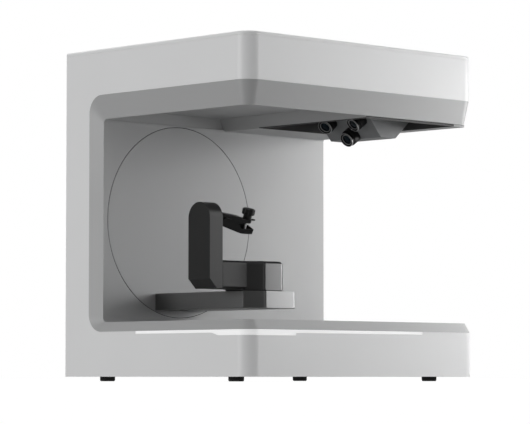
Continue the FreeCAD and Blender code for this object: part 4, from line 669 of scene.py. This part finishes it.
# the bay is one wall round a stepped room: wide and low at the opening, the node's own size above the step
def makeBay():
    low, high = boxOf("optics_bay")
    wall, step, top = opticsSet["wall"], opticsSet["step"], high[2]
    mouth = boxOf("optics_cowl")[0][2] + opticsSet["mouth"]
    wide, narrow = opticsSet["open"], (low[:2], high[:2])

    # a rectangle at one height, drawn in by the inset
    def ring(corners, inset, z):
        (left, front), (right, back) = corners
        left, front, right, back = left + inset, front + inset, right - inset, back - inset
        return [(left, front, z), (right, front, z), (right, back, z), (left, back, z)]

    rings = np.array([
        ring(narrow, wall, top - wall), ring(narrow, wall, step - wall),
        ring(wide, wall, step - wall), ring(wide, wall, mouth),
        ring(wide, 0, mouth), ring(wide, 0, step), ring(narrow, 0, step), ring(narrow, 0, top)])
    addSolid("opticsWell", [skinRings(rings)], opticsSet["bay"], ["optics_bay"])


# a mesh's points in millimetres
def spotsOf(mesh):
    spots = np.empty(len(mesh.vertices) * 3)
    mesh.vertices.foreach_get("co", spots)
    return spots.reshape(-1, 3) / mm


# the cowl's right end moves out along its own slope: out by cowlRight, and up by cowlRight / slope at its foot
def makeCowl():
    mesh = nodeCopy("optics_cowl")
    spots, out = spotsOf(mesh), opticsSet["cowlRight"]
    end = spots[:, 0] > opticsSet["cowlEnd"]
    foot = end & (spots[:, 2] < opticsSet["cowlLow"])
    spots[end, 0] += out
    spots[foot, 2] += out / opticsSet["slope"]
    mesh.vertices.foreach_set("co", (spots * mm).ravel())
    mesh.update()
    addPiece("opticsCowl", mesh, opticsSet["cowl"], ["optics_cowl"])


# thin light rims on the black lens rings, and a dark ring in the gap round the disc that is painted shade for the
# gap
# the profiles are (radius, depth) from the ring's or the disc's edge
trimSet = {
    "rimOut": [(-0.6, -0.4), (0.08, -1.0), (0.08, -0.2), (-0.25, 0.12), (-0.6, 0.12)],
    "rimIn": [(-2.65, -1.5), (-2.2, -1.3), (-2.2, -0.75), (-2.65, -0.85)],
    # painted shade: this dark ring stands in for the shade deep in the gap round the disc
    "gapShade": [(0.2, 0.3), (0.72, 0.3), (0.72, 2.5), (0.2, 2.5)],
    "rimPoints": 64, "gapShadePoints": 160,
    "rims": {"finish": "rimGrey", "slot": "ring_grey", "body": "housing"},
    # the ring of painted gap shade takes the black rubber finish
    "gap": {"finish": "rubber", "slot": "rubber", "body": "housing"},
}


# a node's solids apart: each vertex takes the least label along its edges until nothing changes
def looseSolids(name):
    mesh = nodeCopy(name)
    spots = spotsOf(mesh)
    edges = np.empty(len(mesh.edges) * 2, int)
    mesh.edges.foreach_get("vertices", edges)
    one, two = edges.reshape(-1, 2).T
    label, before = np.arange(len(spots)), None
    while before is None or (label != before).any():
        before = label.copy()
        np.minimum.at(label, one, before[two])
        np.minimum.at(label, two, before[one])
    bpy.data.meshes.remove(mesh)
    return [spots[label == least] for least in np.unique(label)]


# a ring's axis is its thinnest direction, turned to look forward and down
def makeRims():
    solids = []
    for spots in looseSolids("lens_rings"):
        centre = spots.mean(0)
        way = np.linalg.svd(spots - centre, full_matrices=False)[2][2]
        way *= np.sign(way @ np.array((0.0, -1.0, -1.0)))
        depth = (spots - centre) @ way
        edge = np.linalg.norm(spots - centre - depth[:, None] * way, axis=1).max()
        for shape in ("rimOut", "rimIn"):
            profile = np.array(trimSet[shape]) + (edge, depth.max())
            solids.append(ringSolid(centre, way, profile, trimSet["rimPoints"]))
    addSolid("lensRims", solids, trimSet["rims"])


# the dark ring of painted gap shade goes round the disc's own middle line
def makeGapShade():
    low, high = boxOf("swing_disc")
    middle = (low + high) / 2
    profile = np.array(trimSet["gapShade"]) + ((high[0] - low[0]) / 2, 0.0)
    ring = ringSolid(
        np.array((middle[0], low[1], middle[2])), (0.0, 1.0, 0.0), profile, trimSet["gapShadePoints"])
    addSolid("discGapShade", [ring], trimSet["gap"])


easeNodes()
makeLiner()
makeBay()
makeCowl()
makeRims()
makeGapShade()
print("housing pieces made")
makeHub()
makeArm()
makeBeam()
makeUpperJaw()
makeLowerJaw()
makeKnob()
print("moving pieces made")


# floor and light: the floor is a bright paper that lights nothing else
studioSet = {
    "floorSize": 60.0,  # metres
    "floorTone": (0.098, 0.1), "floorRough": (0.8, 0.05), "floorGlow": 0.94, "floorCloud": 0.5,
    "sky": [(0.0, 0.507), (0.42, 0.507), (0.5, 0.0), (0.6, 0.0), (1.0, 0.0)],  # from below to above
    "skyShade": (0.0, 0.2, 1.0, 0.7),  # x * y from, to; strength from, to
    "aim": (0.0, 0.0, 0.15),
    "lamps": {
        "frontRight": {"place": (1.9, -1.9, 0.6), "size": 1.5, "power": 11.0},
        "left": {"place": (-2.5, 0.6, 0.5), "size": 1.2, "power": 20.0},
        "frontLeft": {"place": (-1.2, -2.6, 0.6), "size": 1.2, "power": 1.4},
        "nearRight": {"place": (0.75, -0.35, 0.25), "size": 0.4, "power": 2.9},
        "back": {"place": (0.2, 2.2, 1.8), "size": 1.4, "power": 9.0},
        "nearHigh": {"place": (1.0, -0.9, 1.0), "size": 0.7, "power": 2.6},
    },
}


# a round soft lamp whose axis runs through the aim
def makeLamp(name, look):
    data = bpy.data.lights.new(name, "AREA")
    data.shape = "DISK"
    data.size = look["size"]
    data.energy = look["power"]
    lamp = bpy.data.objects.new(name, data)
    lamp.location = look["place"]
    aim = np.array(studioSet["aim"]) - np.array(look["place"])
    level = math.hypot(aim[0], aim[1])
    lamp.rotation_euler = (
        math.atan2(level, -aim[2]), 0.0, math.atan2(aim[1], aim[0]) - math.pi / 2)
    bpy.context.scene.collection.objects.link(lamp)


# a level square about the origin
def makeFloor():
    half = studioSet["floorSize"] / 2
    mesh = bpy.data.meshes.new("floor")
    corners = [(-half, -half, 0), (half, -half, 0), (half, half, 0), (-half, half, 0)]
    mesh.from_pydata(corners, [], [(0, 1, 2, 3)])
    floor = bpy.data.objects.new("floor", mesh)
    bpy.context.scene.collection.objects.link(floor)
    floor.visible_diffuse = False
    floor.visible_glossy = False
    finish = Finish("floorPaper")
    cloud = finish.noise(studioSet["floorCloud"], plainLook["grainDetail"])
    low, high = studioSet["floorTone"]
    rough, drift = studioSet["floorRough"]
    mesh.materials.append(finish.surface(
        Base_Color=finish.mix(cloud, grey(low), grey(high)),
        Roughness=rough + drift * cloud,
        Specular_IOR_Level=0.0,
        Emission_Color=white,
        Emission_Strength=studioSet["floorGlow"]))


# the sky: white where the camera looks past the object; as light it is graded by height, and dimmed by x * y
def makeSky():
    world = bpy.data.worlds.new("studio")
    bpy.context.scene.world = world
    sky = NodeTree(world)
    way = sky.node("ShaderNodeSeparateXYZ", {}, [sky.node("ShaderNodeTexCoord", {}, {}, "Generated")])
    height = sky.node("ShaderNodeMapRange", {}, {"Value": way.output("Z"), "From Min": -1.0})
    grade = sky.node("ShaderNodeValToRGB", {"stops": studioSet["sky"]}, [height])
    levels = zip(("From Min", "From Max", "To Min", "To Max"), studioSet["skyShade"])
    shade = sky.node(
        "ShaderNodeMapRange", {}, {"Value": way.output("X") * way.output("Y"), **dict(levels)})
    soft = sky.node("ShaderNodeBackground", {}, {"Color": grade, "Strength": shade})
    bright = sky.node("ShaderNodeBackground", {}, {"Color": white})
    seen = sky.node("ShaderNodeLightPath", {}, {}, "Is Camera Ray")
    both = sky.node("ShaderNodeMixShader", {}, [seen, soft, bright])
    sky.node("ShaderNodeOutputWorld", {}, {"Surface": both})


# floor, sky and lamps, with tones shown straight
def makeStudio():
    makeFloor()
    makeSky()
    for name, look in studioSet["lamps"].items():
        makeLamp(name, look)
    bpy.context.scene.view_settings.view_transform = "Standard"


makeStudio()
print("studio set")
